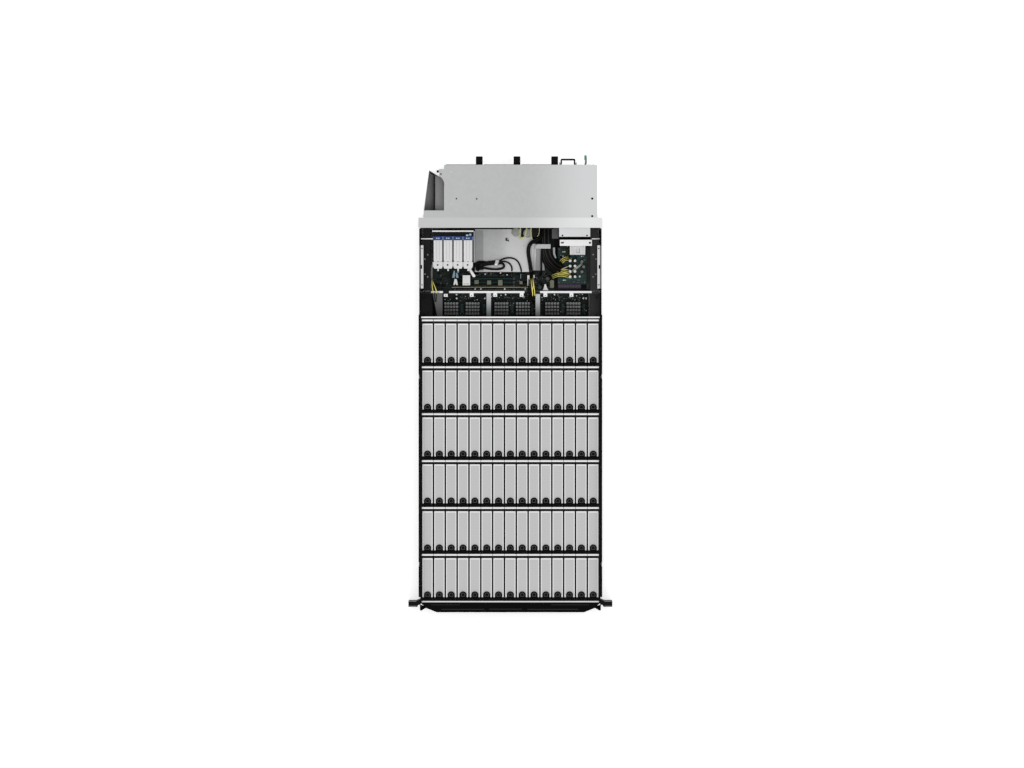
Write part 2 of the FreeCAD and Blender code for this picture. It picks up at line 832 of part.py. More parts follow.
def make_yellow_wires():
    """Bundles over the support rail, one to the left bracket, and leads from the plugs to the supplies."""
    foot = board_top + seat_gap
    over = ledge_z + wire_diameter
    bundles = []
    ends = (ledge_z + seat_gap, foot)
    for x, end in zip(wire_gap_spots, ends):
        route = [(x, compartment_y + 30, foot), (x, compartment_y + 28, over + 6),
                 (x, rail_y - 20, over + 6), (x, rail_y - 21, end)]
        bundles.append(make_cable(route, wire_diameter))
    end_y = bracket_y + bracket_depth - 2 * sheet
    for column in range(plug_columns):
        x, y = plug_place(plug_rows - 1, column)
        side = column * 2 - 1
        top = power_board_top + plug_height + seat_gap
        route = [(x, y, top), (x + 2 * side, y + 2, top + 36), (x + 8 * side, end_y, top + 44)]
        bundles.append(make_cable(route, wire_diameter))
    return bundles


# Rear section

def supply_z(index):
    """Underside of a power supply, counted from 0 at the bottom of the stack."""
    return shelf_top + seat_gap + index * (supply_height + supply_spacing)


def rear_left_line():
    """Plan of the left rear wall: it tapers inward to a slanted notch in the rear corner."""
    half = rear_half_width
    notch_y = rear_y + notch_rear
    return [(-half, rear_y), (-half, rear_y + cover_step), (-taper_half, rear_y + taper_end),
            (notch_left, rear_y + notch_front), (notch_left, notch_y), (cover_cut_right, notch_y),
            (cover_cut_right, chassis_depth)]


def inset_line(points, distance):
    """An open line in plan, moved to its right by a distance, with mitred corners."""
    normals = []
    for (x0, y0), (x1, y1) in zip(points, points[1:]):
        length = math.hypot(x1 - x0, y1 - y0)
        normals.append(((y1 - y0) / length, (x0 - x1) / length))
    before = normals[:1] + normals
    after = normals + normals[-1:]
    moved = []
    for (x, y), (ax, ay), (bx, by) in zip(points, before, after):
        reach = distance / (1 + ax * bx + ay * by)
        moved.append((x + reach * (ax + bx), y + reach * (ay + by)))
    return moved


def make_chassis_base():
    left = rear_left_line()
    outline = [(-wall_outer, 0), (wall_outer, 0), (wall_outer, rear_y), (rear_half_width, rear_y),
               (rear_half_width, chassis_depth)] + left[::-1] + [(-wall_outer, rear_y)]
    return plan_prism(outline, 0, sheet)


def make_rear_panel():
    """The rear wall with its openings, and the side walls of the rear section."""
    back = chassis_depth - sheet
    wall = block(cover_cut_right, rear_half_width, back, chassis_depth, sheet, wall_top)
    fans = block(fan_first_x - fan_width / 2 - slide_gap, fan_right + slide_gap,
                 back - 1, chassis_depth + 1, fan_z - seat_gap, fan_z + fan_height + slide_gap)
    stack = 2 * supply_height + supply_spacing
    supplies = block(supply_left - slide_gap, supply_left + supply_width + slide_gap,
                     back - 1, chassis_depth + 1, supply_z(0) - seat_gap, supply_z(0) + stack + slide_gap)
    ports_end = port_first_x + port_count * port_pitch
    ports = block(port_first_x - slide_gap, ports_end + slide_gap, back - 1, chassis_depth + 1,
                  board_top, board_top + port_height + slide_gap)
    wall = wall.cut(fans).cut(supplies).cut(ports)
    for index in range(vent_count):
        x = supply_left + supply_width * (index + 0.5) / vent_count
        wall = wall.cut(block(x - vent_width / 2, x + vent_width / 2, back - 1, chassis_depth + 1,
                              shelf_z / 4, shelf_z * 3 / 4))
    right = block(rear_inner, rear_half_width, rear_y, chassis_depth, sheet, wall_top)
    line = rear_left_line()
    left = plan_prism(line + inset_line(line, sheet)[::-1], sheet, wall_top)
    return fuse([wall, right, left])


def make_rear_cover():
    """The galvanised cover, with a curved cut-out and a small tab at its left edge."""
    y0 = rear_y + cover_step
    curve = y0 + cover_cut_straight
    end = rear_y + notch_front
    notch_y = rear_y + notch_rear
    corners = [Vec(x, at_y(y), wall_top) for x, y in [
        (cover_cut_right, curve), (cover_cut_right, y0), (-rear_half_width, y0), (-rear_half_width, rear_y),
        (rear_half_width, rear_y), (rear_half_width, chassis_depth), (cover_cut_right, chassis_depth),
        (cover_cut_right, notch_y), (notch_left, notch_y), (notch_left, end)]]
    lean = math.sqrt(0.5)
    middle_x = notch_left + (cover_cut_right - notch_left) * lean
    middle = Vec(middle_x, at_y(curve + (end - curve) * lean), wall_top)
    arc = Part.Arc(corners[-1], middle, corners[0]).toShape()
    outline = Part.Wire(Part.makePolygon(corners).Edges + [arc])
    return Part.Face(outline).extrude(Vec(0, 0, sheet))


def make_rear_partitions():
    """The shelf under fans and supplies, with the walls that stand on it."""
    back = chassis_depth - sheet
    shelf = block(duct_wall - sheet, rear_inner, rear_y, back, shelf_z, shelf_top)
    duct = block(duct_wall - sheet, duct_wall, rear_y, back, shelf_z, wall_top)
    flange_z = wall_top - duct_flange_drop
    floor_end = rear_y + notch_front - 3 * sheet
    slant = (taper_end - notch_front) / (taper_half + notch_left)
    floor_corner = floor_end + slant * (notch_left - duct_floor_left)
    duct_floor = [(duct_floor_left, rear_y), (duct_wall, rear_y), (duct_wall, floor_end),
                  (notch_left, floor_end), (duct_floor_left, floor_corner)]
    flange = plan_prism(duct_floor, flange_z - sheet, flange_z)
    divider = block(fan_right + slide_gap, fan_right + slide_gap + sheet, rear_y, back, shelf_z, wall_top)
    return fuse([shelf, duct, flange, divider])


def make_ports():
    back = chassis_depth - sheet / 2
    ports = []
    for index in range(port_count):
        x = port_first_x + (index + 0.5) * port_pitch
        half = port_width / 2
        shell = block(x - half, x + half, back - port_depth, back, board_top, board_top + port_height)
        hollow = block(x - half + sheet, x + half - sheet, back - port_depth / 2, back + 1,
                       board_top + sheet, board_top + port_height - sheet)
        ports.append(shell.cut(hollow))
    return ports


def fan_x(index):
    return fan_first_x + index * fan_pitch


def round_prism(x, z, radius, sides, y0, y1):
    """A many-sided plug about an axis that runs front to rear."""
    turns = [2 * math.pi * side / sides for side in range(sides)]
    points = [(x + radius * math.cos(turn), z + radius * math.sin(turn)) for turn in turns]
    return front_prism(points, y0, y1)


def hub_prism(x, z, y0, y1):
    """The hub about a fan's axis."""
    return round_prism(x, z, fan_hub_radius, fan_hub_sides, y0, y1)


def make_fan_module(index):
    """A fan housing with a round bore, a guard with spokes and motor seat, and a handle."""
    x = fan_x(index)
    half = fan_width / 2
    z = fan_z + fan_height / 2
    y0 = chassis_depth - fan_length
    along = Vec(0, 1, 0)
    housing = block(x - half, x + half, y0, chassis_depth, fan_z, fan_z + fan_height)
    guard_y = chassis_depth - fan_guard_thickness
    bore = rod_along(along, fan_bore_radius, (x, y0 - 1, z), 2 * fan_length)
    bars = [hub_prism(x, z, guard_y, chassis_depth)]
    reach = fan_bore_radius + fan_guard_bar
    bar = fan_guard_bar / 2
    bars.append(block(x - reach, x + reach, guard_y, chassis_depth, z - bar, z + bar))
    bars.append(block(x - bar, x + bar, guard_y, chassis_depth, z - reach, z + reach))
    handle_x = x + half - fan_handle_width
    handle_z0 = z - fan_handle_height / 2
    grip = block(handle_x, handle_x + fan_handle_width, chassis_depth, chassis_depth + fan_handle_reach,
                 handle_z0, handle_z0 + fan_handle_height)
    finger = block(handle_x - 1, handle_x + fan_handle_width + 1, chassis_depth,
                   chassis_depth + fan_handle_reach - fan_handle_wall,
                   handle_z0 + fan_handle_wall, handle_z0 + fan_handle_height - fan_handle_wall)
    return fuse([housing.cut(bore)] + bars + [grip.cut(finger)])


def make_fan_rotor(index):
    """A hub on the guard's motor seat, with pitched blades that clear the bore."""
    x = fan_x(index)
    z = fan_z + fan_height / 2
    end = chassis_depth - fan_guard_thickness - seat_gap
    start = end - fan_hub_length
    hub = hub_prism(x, z, start, end)
    blade_half = fan_blade_chord / 2
    sideways = blade_half * math.sin(math.radians(fan_blade_pitch)) + fan_blade_thickness
    tip = math.sqrt((fan_bore_radius - fan_blade_tip_gap) ** 2 - sideways ** 2)
    centre = Vec(x, at_y((start + end) / 2), z)
    pieces = [hub]
    for blade in range(fan_blade_count):
        plate = Part.makeBox(fan_blade_thickness, fan_blade_chord, tip - fan_hub_radius / 2,
                             centre + Vec(-fan_blade_thickness / 2, -blade_half, fan_hub_radius / 2))
        plate.rotate(centre, Vec(0, 0, 1), fan_blade_pitch)
        plate.rotate(centre, Vec(0, 1, 0), 360.0 * blade / fan_blade_count)
        pieces.append(plate)
    return fuse(pieces)


def lever_x():
    return supply_left + supply_width - lever_from_edge


def bail_left():
    return supply_left + bail_ear + slide_gap + bail_wire_radius


def bail_axis(index):
    """Distance behind the front plane, and height, of a bail's hinge line."""
    return chassis_depth + 1.5 * bail_wire_radius + slide_gap, supply_z(index) + supply_height / 2


def make_supply(index):
    """A power supply with its inlet, the pocket of its lever and the two ears of its bail."""
    z0 = supply_z(index)
    z = z0 + supply_height / 2
    right = supply_left + supply_width
    body = block(supply_left, right, supply_front, chassis_depth, z0, z0 + supply_height)
    inlet_x = lever_x() - lever_width / 2 - lever_pocket_gap - sheet - inlet_width
    inlet = block(inlet_x, inlet_x + inlet_width, chassis_depth - inlet_depth, chassis_depth + 1,
                  z - inlet_height / 2, z + inlet_height / 2)
    reach = lever_width / 2 + lever_pocket_gap
    pocket = block(lever_x() - reach, lever_x() + reach, chassis_depth - lever_root - lever_pocket_gap,
                   chassis_depth + 1, z - lever_height / 2 - slide_gap, z + lever_height / 2 + slide_gap)
    axis_y, axis_z = bail_axis(index)
    ears = []
    for x in (supply_left, bail_left() + bail_width - bail_wire_radius + slide_gap):
        ear = block(x, x + bail_ear, chassis_depth, axis_y + 2 * bail_wire_radius,
                    axis_z - 2 * bail_wire_radius, axis_z + 2 * bail_wire_radius)
        ears.append(ear.cut(rod_along(Vec(1, 0, 0), bail_wire_radius + slide_gap / 2,
                                      (x - 1, axis_y, axis_z), 2 * bail_ear)))
    return fuse([body.cut(inlet).cut(pocket)] + ears)


def bail_outline(x0, x1, y0, y1, chamfer):
    """Plan of a U-shaped bar's edge, with its two far corners cut off."""
    return [(x0, y0), (x0, y1 - chamfer), (x0 + chamfer, y1), (x1 - chamfer, y1), (x1, y1 - chamfer),
            (x1, y0)]


def make_bail(index):
    """A U-shaped bar whose round pins sit in the ears of the supply."""
    axis_y, z = bail_axis(index)
    thick = 2 * bail_wire_radius
    x0 = bail_left() - bail_wire_radius
    x1 = x0 + bail_width
    y0 = axis_y - bail_wire_radius
    y1 = chassis_depth + bail_reach
    outer = plan_prism(bail_outline(x0, x1, y0, y1, bail_bend), z - bail_wire_radius, z + bail_wire_radius)
    inside = bail_outline(x0 + thick, x1 - thick, y0 - thick, y1 - thick, bail_bend - bail_wire_radius)
    inner = plan_prism(inside, z - thick, z + thick)
    pin = bail_ear + slide_gap + bail_wire_radius
    left_pin = rod_along(Vec(-1, 0, 0), bail_wire_radius, (x0 + bail_wire_radius, axis_y, z), pin)
    right_pin = rod_along(Vec(1, 0, 0), bail_wire_radius, (x1 - bail_wire_radius, axis_y, z), pin)
    return fuse([outer.cut(inner), left_pin, right_pin])


def make_lever(index):
    """The green release lever: a flat tongue with a thicker thumb end."""
    z = supply_z(index) + supply_height / 2
    x = lever_x()
    half = lever_width / 2
    root = chassis_depth - lever_root
    tip = chassis_depth + lever_reach
    neck = tip - 2 * lever_width
    pivot = root + half / 2
    low = z - lever_height / 2
    outline = [(x - half / 2, pivot), (x + half / 2, pivot), (x + half / 2, neck), (x + half, tip),
               (x - half, tip), (x - half / 2, neck)]
    tongue = plan_prism(outline, low, low + lever_height)
    return fuse([tongue, rod_along(Vec(0, 0, 1), half / 2, (x, pivot, low), lever_height)])


def build():
    os.makedirs("parts", exist_ok=True)
    wall = make_side_wall()
    rail = make_inner_rail()
    ear = make_rack_ear()
    inner_wall = make_compartment_wall()
    save("chassis_base", make_chassis_base())
    save("side_walls", [mirrored(wall), wall])
    save("front_wall", make_front_wall())
    save("inner_rails", [mirrored(rail), rail])
    save("cover_cross_brace", make_cross_brace())
    save("front_bezel", make_bezel())
    save("power_button", make_power_button())
    save("rack_ears", [mirrored(ear), ear])
    save("bay_crossbars", [make_crossbar(row) for row in range(drive_rows)])
    save("drive_backplanes", [piece for row in range(drive_rows) for piece in make_backplane(row)])
    for row in range(drive_rows):
        label = "_row_" + str(row + 1)
        columns = range(drive_columns)
        save("drives" + label, [make_drive(row, column) for column in columns])
        save("drive_handles" + label, [make_handle(row, column) for column in columns])
        save("drive_latches" + label, [make_latch(row, column) for column in columns])
    save("midplane_board", make_midplane_board())
    save("midplane_connectors", [make_midplane_block(x) for x in midplane_block_spots])
    save("midplane_brackets", make_midplane_brackets())
    save("support_rails", make_support_rails())
    save("motherboard", make_motherboard())
    save("cpu_heatsinks", [make_heatsink(-1), make_heatsink(1)])
    save("memory_modules", [make_memory(index) for index in range(memory_count)])
    save("expansion_cards", [make_card(index) for index in range(card_count)])
    save("card_guides", [make_card_guide(index) for index in range(card_count)])
    save("baffle_plate", make_baffle())
    save("compartment_walls", [mirrored(inner_wall), inner_wall])
    save("power_board", make_power_board())
    places = [(row, column) for row in range(plug_rows) for column in range(plug_columns)]
    save("power_plugs", [make_power_plug(row, column) for row, column in places])
    save("power_bracket", make_power_bracket())
    save("black_cables", make_black_cables())
    save("yellow_wires", make_yellow_wires())
    save("rear_panel", make_rear_panel())
    save("rear_cover", make_rear_cover())
    save("rear_partitions", make_rear_partitions())
    save("rear_ports", make_ports())
    for index in range(3):
        save("fan_module_" + str(index + 1), make_fan_module(index))
        save("fan_rotor_" + str(index + 1), make_fan_rotor(index))
    for index in range(2):
        save("power_supply_" + str(index + 1), make_supply(index))
        save("supply_bail_" + str(index + 1), make_bail(index))
        save("supply_lever_" + str(index + 1), make_lever(index))


build()
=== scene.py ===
import math
import random

import bpy
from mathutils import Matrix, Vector


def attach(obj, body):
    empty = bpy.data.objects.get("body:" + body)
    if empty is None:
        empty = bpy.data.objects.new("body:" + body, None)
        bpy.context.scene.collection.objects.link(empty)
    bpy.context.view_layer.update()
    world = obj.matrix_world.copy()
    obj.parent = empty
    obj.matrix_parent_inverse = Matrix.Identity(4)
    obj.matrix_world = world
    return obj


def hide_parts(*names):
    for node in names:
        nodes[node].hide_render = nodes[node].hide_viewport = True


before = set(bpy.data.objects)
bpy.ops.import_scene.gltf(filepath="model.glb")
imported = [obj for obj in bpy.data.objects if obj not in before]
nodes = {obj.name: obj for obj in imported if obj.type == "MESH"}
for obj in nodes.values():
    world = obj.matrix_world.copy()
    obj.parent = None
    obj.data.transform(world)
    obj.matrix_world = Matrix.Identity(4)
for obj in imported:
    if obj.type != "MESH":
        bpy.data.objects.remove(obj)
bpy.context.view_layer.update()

scene = bpy.context.scene

# Part lengths are in mm, y counted back from the chassis front plane; looks, lights and camera use metres
MM = 0.001
FRONT = -518.15
ROWS = 6
COLUMNS = 15
FANS = 3
SUPPLIES = 2
ROW_PITCH = 111
COLUMN_PITCH = 28
FIRST_ROW = 5.2
DRIVE_X = 26.1
DRIVE_Y = 101.6
DRIVE_Z = (15.8, 162.8)
HANDLE_TOP = 166.1
LATCH_Z = (166.4, 169.4)
COMPARTMENT_Y = 737.5
REAR_Y = 911
BACK = 1036
BOARD_TOP = 9.2
POWER_TOP = 48
BAFFLE_TOP = 97.2
GUIDE_TOP = 150
LEDGE_TOP = 151
WALL_TOP = 173.8
TOP = 175
WALL_X = 213
# How deep a small part is sunk into what carries it
SUNK = 0.1

X, Y, Z = range(3)
UP = (0, 0, 1)
REARWARD = (0, 1, 0)
SIDES = (-1, 1)
ORIGIN = (0, 0, 0)
ON_BOARD = (0, 0, BOARD_TOP)


def place(x, y, z):
    """A point in metres, with y counted back from the chassis front plane."""
    return Vector((x, y + FRONT, z)) * MM


def column_x(column):
    return (column - (COLUMNS - 1) / 2) * COLUMN_PITCH


def numbered(stem, count):
    return [stem + str(index + 1) for index in range(count)]


# Materials

CLOUD_SCALE = 9
MAIN_SHARE = 0.6
GLOSS_SPREAD = 0.1
RELIEF_DEPTH = 0.0004
PATTERN_DEPTH = 3
DOT_SOFTNESS = 0.15


def put(tree, value, socket):
    """Link a socket to an input, or write a constant on it."""
    if isinstance(value, bpy.types.NodeSocket):
        tree.links.new(value, socket)
    else:
        socket.default_value = value


def add_node(tree, kind, **inputs):
    """A shader node with some of its inputs given, by name with _ for a space."""
    node = tree.nodes.new("ShaderNode" + kind)
    for name, value in inputs.items():
        put(tree, value, node.inputs[name.replace("_", " ")])
    return node


def calculate(tree, operation, *values):
    """The result of one arithmetic node."""
    node = tree.nodes.new("ShaderNodeMath")
    node.operation = operation
    for value, socket in zip(values, node.inputs):
        put(tree, value, socket)
    return node.outputs[0]


def weigh(tree, main, other):
    """The mean of two values, in which the first has the larger share."""
    return calculate(tree, "ADD", calculate(tree, "MULTIPLY", main, MAIN_SHARE),
                     calculate(tree, "MULTIPLY", other, 1 - MAIN_SHARE))


def mix_colour(tree, factor, first, second):
    node = tree.nodes.new("ShaderNodeMix")
    node.data_type = "RGBA"
    put(tree, factor, node.inputs["Factor"])
    for name, colour in (("A", first), ("B", second)):
        socket = next(s for s in node.inputs if s.name == name and s.type == "RGBA")
        put(tree, (*colour, 1) if isinstance(colour, tuple) else colour, socket)
    return next(s for s in node.outputs if s.type == "RGBA")


def grid_dots(tree, first, second, pitch, radius):
    """1 inside round dots on a square grid, 0 between them."""
    squares = [calculate(tree, "POWER", calculate(tree, "PINGPONG", axis, pitch / 2), 2)
               for axis in (first, second)]
    distance = calculate(tree, "SQRT", calculate(tree, "ADD", *squares))
    return add_node(tree, "MapRange", Value=distance, From_Min=radius * (1 + DOT_SOFTNESS),
                    From_Max=radius * (1 - DOT_SOFTNESS)).outputs[0]


def stripes(tree, axis, pitch, width, shift):
    """1 inside stripes of a width at each pitch, 0 between them."""
    moved = calculate(tree, "ADD", axis, shift)
    return calculate(tree, "LESS_THAN", calculate(tree, "PINGPONG", moved, pitch / 2), width / 2)


def shade(colour, factor):
    return tuple(min(1, channel * factor) for channel in colour)


def grey(level):
    return (level, level, level)


def surface(name, colour, rough, metal, grain, vary, bump, shine=0.5, stretch=(1, 1, 1), spangle=0,
            dots=None, lines=(), fade=None, coat=0):
    """A finish with uneven colour, uneven gloss and a fine relief, and if asked a pattern.

    grain is the scale of the noise, vary its share in the colour, bump the strength of the relief,
    shine the strength of the reflection, stretch the scale of the noise along each axis, spangle the
    scale of crystal patches and coat the weight of a clear coat.
    dots is (axes, pitch, radius, colour); lines is a list of (axis, pitch, width, shift, colour);
    fade is (axis, start, end, colour), a slow change of colour along an axis. These are in metres.
    """
    made = bpy.data.materials.new(name)
    made.use_nodes = True
    made.diffuse_color = (*colour, 1)
    tree = made.node_tree
    point = add_node(tree, "TexCoord").outputs["Object"]
    axes = add_node(tree, "SeparateXYZ", Vector=point).outputs
    mapped = add_node(tree, "Mapping", Vector=point, Scale=stretch).outputs[0]
    noise = add_node(tree, "TexNoise", Vector=mapped, Scale=grain, Detail=5).outputs[0]
    cloud = add_node(tree, "TexNoise", Vector=point, Scale=CLOUD_SCALE, Detail=3).outputs[0]
    blend = weigh(tree, noise, cloud)
    if spangle:
        cells = add_node(tree, "TexVoronoi", Vector=point, Scale=spangle).outputs["Color"]
        blend = weigh(tree, blend, add_node(tree, "SeparateColor", Color=cells).outputs[0])
    tone = mix_colour(tree, blend, shade(colour, 1 - vary), shade(colour, 1 + vary))
    if fade:
        axis, start, end, far_colour = fade
        ramp = add_node(tree, "MapRange", Value=axes[axis], From_Min=start, From_Max=end)
        ramp.interpolation_type = "SMOOTHSTEP"
        tone = mix_colour(tree, ramp.outputs[0], tone, far_colour)
    masks = [(stripes(tree, axes[axis], *sizes), line_colour) for axis, *sizes, line_colour in lines]
    if dots:
        (first, second), *sizes, dot_colour = dots
        masks.insert(0, (grid_dots(tree, axes[first], axes[second], *sizes), dot_colour))
    height = noise
    for mask, mask_colour in masks:
        tone = mix_colour(tree, mask, tone, mask_colour)
        height = calculate(tree, "SUBTRACT", height, calculate(tree, "MULTIPLY", mask, PATTERN_DEPTH))
    gloss = add_node(tree, "MapRange", Value=cloud, To_Min=max(0.05, rough - GLOSS_SPREAD),
                     To_Max=min(1, rough + GLOSS_SPREAD))
    relief = add_node(tree, "Bump", Strength=bump, Distance=RELIEF_DEPTH, Height=height)
    shader = tree.nodes["Principled BSDF"]
    settings = {"Base Color": tone, "Roughness": gloss.outputs[0], "Metallic": metal,
                "Normal": relief.outputs[0], "Coat Weight": coat, "Specular IOR Level": shine}
    for socket, value in settings.items():
        put(tree, value, shader.inputs[socket])
    return made


def lamp(name, colour):
    """A small lit lamp under a clear lens."""
    made = surface(name, colour, 0.25, 0, 900, 0.2, 0.12, coat=0.6)
    shader = made.node_tree.nodes["Principled BSDF"]
    shader.inputs["Emission Color"].default_value = (*colour, 1)
    shader.inputs["Emission Strength"].default_value = 0.6
    return made


BLACK = (0.003, 0.003, 0.0032)
SHEET = (0.47, 0.473, 0.475)
BRUSHED = (1, 0.05, 1)

# Sheet metal
# Painted reflection: the galvanised sheet fades lighter towards +x
galvanised = surface("galvanised_sheet", (0.485, 0.488, 0.49), 0.5, 0.05, 500, 0.05, 0.06, 0.2, spangle=130,
                     fade=(X, 0.02, 0.19, (0.64, 0.645, 0.65)))
# Painted reflection: the brace fades lighter towards +x
brace_metal = surface("cover_brace", (0.53, 0.535, 0.535), 0.45, 0.05, 700, 0.05, 0.06, 0.2, (0.04, 1, 1),
                      fade=(X, 0, 0.2, (0.76, 0.765, 0.765)))
plated = surface("plated_sheet", (0.56, 0.565, 0.57), 0.4, 0.15, 700, 0.07, 0.08, 0.25, (1, 0.04, 1))
grey_sheet = surface("grey_sheet", SHEET, 0.45, 0.05, 500, 0.07, 0.06, 0.2, spangle=150)
# Painted light: a brighter copy of grey_sheet for the deep baffle, fading lighter still towards +x
baffle_sheet = surface("baffle_sheet", SHEET, 0.45, 0.05, 500, 0.07, 0.06, 0.2, spangle=150,
                       fade=(X, -0.03, 0.004, (0.6, 0.603, 0.605)))
strip_grey = surface("strip_grey", (0.33, 0.335, 0.34), 0.5, 0.05, 500, 0.12, 0.08, 0.2, spangle=150)
# Painted shade: both bracket sheets fade darker towards the front
ramp_sheet = surface("ramp_sheet", (0.055, 0.062, 0.06), 0.45, 0.05, 500, 0.1, 0.08, 0.2,
                     fade=(Y, 0.155, 0.217, (0.5, 0.515, 0.52)))
ramp_dark = surface("ramp_dark", (0.03, 0.031, 0.031), 0.45, 0.05, 500, 0.1, 0.08, 0.15, BRUSHED,
                    fade=(Y, 0.155, 0.205, (0.105, 0.105, 0.108)))
# Painted light and shade: a shaded and a lit copy of one wing sheet, each fading lighter towards the rear
wing_painted_shade = surface("wing_painted_shade", (0.27, 0.273, 0.275), 0.5, 0.05, 500, 0.1, 0.08, 0.2,
                    fade=(Y, 0.272, 0.322, grey(0.4)))
wing_painted_light = surface("wing_painted_light", (0.42, 0.423, 0.425), 0.5, 0.05, 500, 0.1, 0.08, 0.2,
                     fade=(Y, 0.272, 0.318, grey(0.88)))
duct_grey = surface("duct_grey", (0.32, 0.32, 0.325), 0.55, 0.05, 420, 0.1, 0.1, 0.2)
# Painted shade: a dark sheet that stands for the shaded interior
painted_shade_inside = surface("painted_shade_inside", (0.1, 0.1, 0.105), 0.6, 0.05, 420, 0.2, 0.15, 0.2)
vent_metal = surface("vented_sheet", (0.55, 0.56, 0.57), 0.38, 0.4, 700, 0.08, 0.25,
                     dots=((X, Z), 0.0042, 0.0015, grey(0.012)))
bright_metal = surface("bright_screw", (0.8, 0.8, 0.81), 0.35, 0.4, 1500, 0.08, 0.1)
screw_grey = surface("screw_grey", (0.17, 0.17, 0.175), 0.4, 0.1, 900, 0.2, 0.1, 0.3)
fin_metal = surface("fin_metal", (0.46, 0.46, 0.48), 0.38, 0.8, 800, 0.1, 0.1, stretch=BRUSHED)

# Drives; a lid has a pale rim all round, partly its rolled edges and partly a painted highlight, and dark
# lines at its sides and its rear end, painted shade of the gaps between lids and of the slot behind the lever
# lip
LID_RIM_HIGHLIGHT = grey(0.84)
lid_metal = surface("perforated_lid", grey(0.53), 0.5, 0.03, 600, 0.03, 0.1, 0.2,
                    dots=((X, Y), 0.0035, 0.0009, grey(0.49)),
                    lines=[(Y, 0.111, 0.0042, 0.0807, LID_RIM_HIGHLIGHT), (Y, 0.111, 0.005, 0.0592, LID_RIM_HIGHLIGHT),
                           (X, 0.028, 0.0074, 0.014, LID_RIM_HIGHLIGHT), (X, 0.028, 0.004, 0.014, BLACK),
                           (Y, 0.111, 0.0024, 0.07875, BLACK)])
cast_metal = surface("cast_drive", (0.1, 0.1, 0.105), 0.5, 0.5, 420, 0.16, 0.2)
tray_metal = surface("tray_metal", (0.022, 0.022, 0.024), 0.5, 0.2, 700, 0.15, 0.1, 0.2)

# White coats and mouldings
white_steel = surface("white_coat", grey(0.84), 0.45, 0, 900, 0.04, 0.06, 0.2)
strip_white = surface("strip_white", grey(0.63), 0.45, 0, 900, 0.06, 0.06, 0.2)
lip_white = surface("lip_white", grey(0.72), 0.45, 0, 900, 0.04, 0.06, 0.2,
                    lines=[(Y, 2, 0.002, 0.51805, grey(0.01))])
ticked_steel = surface("ticked_crossbar", grey(0.84), 0.45, 0, 900, 0.04, 0.06, 0.2,
                       lines=[(X, 0.028, 0.0014, 0.014, grey(0.2))])
white_plastic = surface("white_moulding", (0.84, 0.84, 0.83), 0.4, 0, 1200, 0.04, 0.08, 0.3)
guide_white = surface("guide_white", grey(0.7), 0.45, 0, 900, 0.05, 0.08, 0.2, (1, 0.1, 1))
strap_grey = surface("strap_grey", grey(0.527), 0.55, 0, 900, 0.08, 0.3, 0.2, (1, 8, 1))

# Black and dark grey coats and mouldings
black_steel = surface("black_coat", BLACK, 0.5, 0, 900, 0.3, 0.12, 0.05)
latch_black = surface("latch_black", BLACK, 0.5, 0, 1400, 0.35, 0.2, 0.02)
black_plastic = surface("black_moulding", BLACK, 0.52, 0, 1400, 0.35, 0.2, 0.06)
chip_black = surface("chip_black", BLACK, 0.45, 0, 1600, 0.3, 0.2, 0.08)
cable_black = surface("black_sheath", BLACK, 0.45, 0, 1100, 0.4, 0.15, 0.12)
# Painted highlight: a lighter, glossier black for some harness strands
cable_sheen = surface("sheen_sheath", (0.02, 0.018, 0.017), 0.4, 0, 1100, 0.4, 0.15, 0.3)
# Painted light: the black wall coat fades lighter towards +x
wall_black = surface("wall_black", (0.01, 0.01, 0.0105), 0.55, 0, 700, 0.3, 0.15, 0.08,
                     fade=(X, -0.1, 0.2, (0.03, 0.03, 0.031)))
mesh_black = surface("mesh_black", (0.012, 0.012, 0.0125), 0.45, 0.3, 900, 0.2, 0.4, 0.1,
                     dots=((X, Z), 0.0036, 0.0013, grey(0.002)))
block_dark = surface("block_dark", (0.01, 0.012, 0.012), 0.5, 0, 1200, 0.3, 0.15, 0.1)
glint_grey = surface("glint_grey", (0.026, 0.026, 0.027), 0.4, 0, 900, 0.3, 0.1, 0.1)
glint_dark = surface("glint_dark", (0.013, 0.013, 0.0135), 0.4, 0, 900, 0.3, 0.1, 0.1)
ring_grey = surface("ring_grey", (0.055, 0.055, 0.056), 0.5, 0, 1400, 0.2, 0.15, 0.15)
grey_plastic = surface("dark_grey_moulding", (0.085, 0.086, 0.09), 0.45, 0, 1400, 0.2, 0.15, 0.2)

# Boards, their parts and coloured mouldings
board_green = surface("board_green", (0.004, 0.022, 0.018), 0.45, 0, 260, 0.5, 0.2, 0.12,
                      dots=((X, Y), 0.0045, 0.0005, (0.16, 0.15, 0.07)))
board_dark = surface("board_dark", (0.003, 0.012, 0.01), 0.45, 0, 260, 0.5, 0.2, 0.12,
                     dots=((X, Y), 0.0052, 0.0005, (0.1, 0.1, 0.07)))
# Painted shade: the power board fades darker towards the rear
board_teal = surface("board_teal", (0.006, 0.06, 0.056), 0.45, 0, 260, 0.4, 0.2, 0.15,
                     dots=((X, Y), 0.004, 0.0005, (0.24, 0.22, 0.1)),
                     fade=(Y, 0.298, 0.322, (0.003, 0.024, 0.022)))
dot_grey = surface("contact_grey", (0.3, 0.31, 0.305), 0.45, 0.1, 1300, 0.2, 0.1, 0.2)
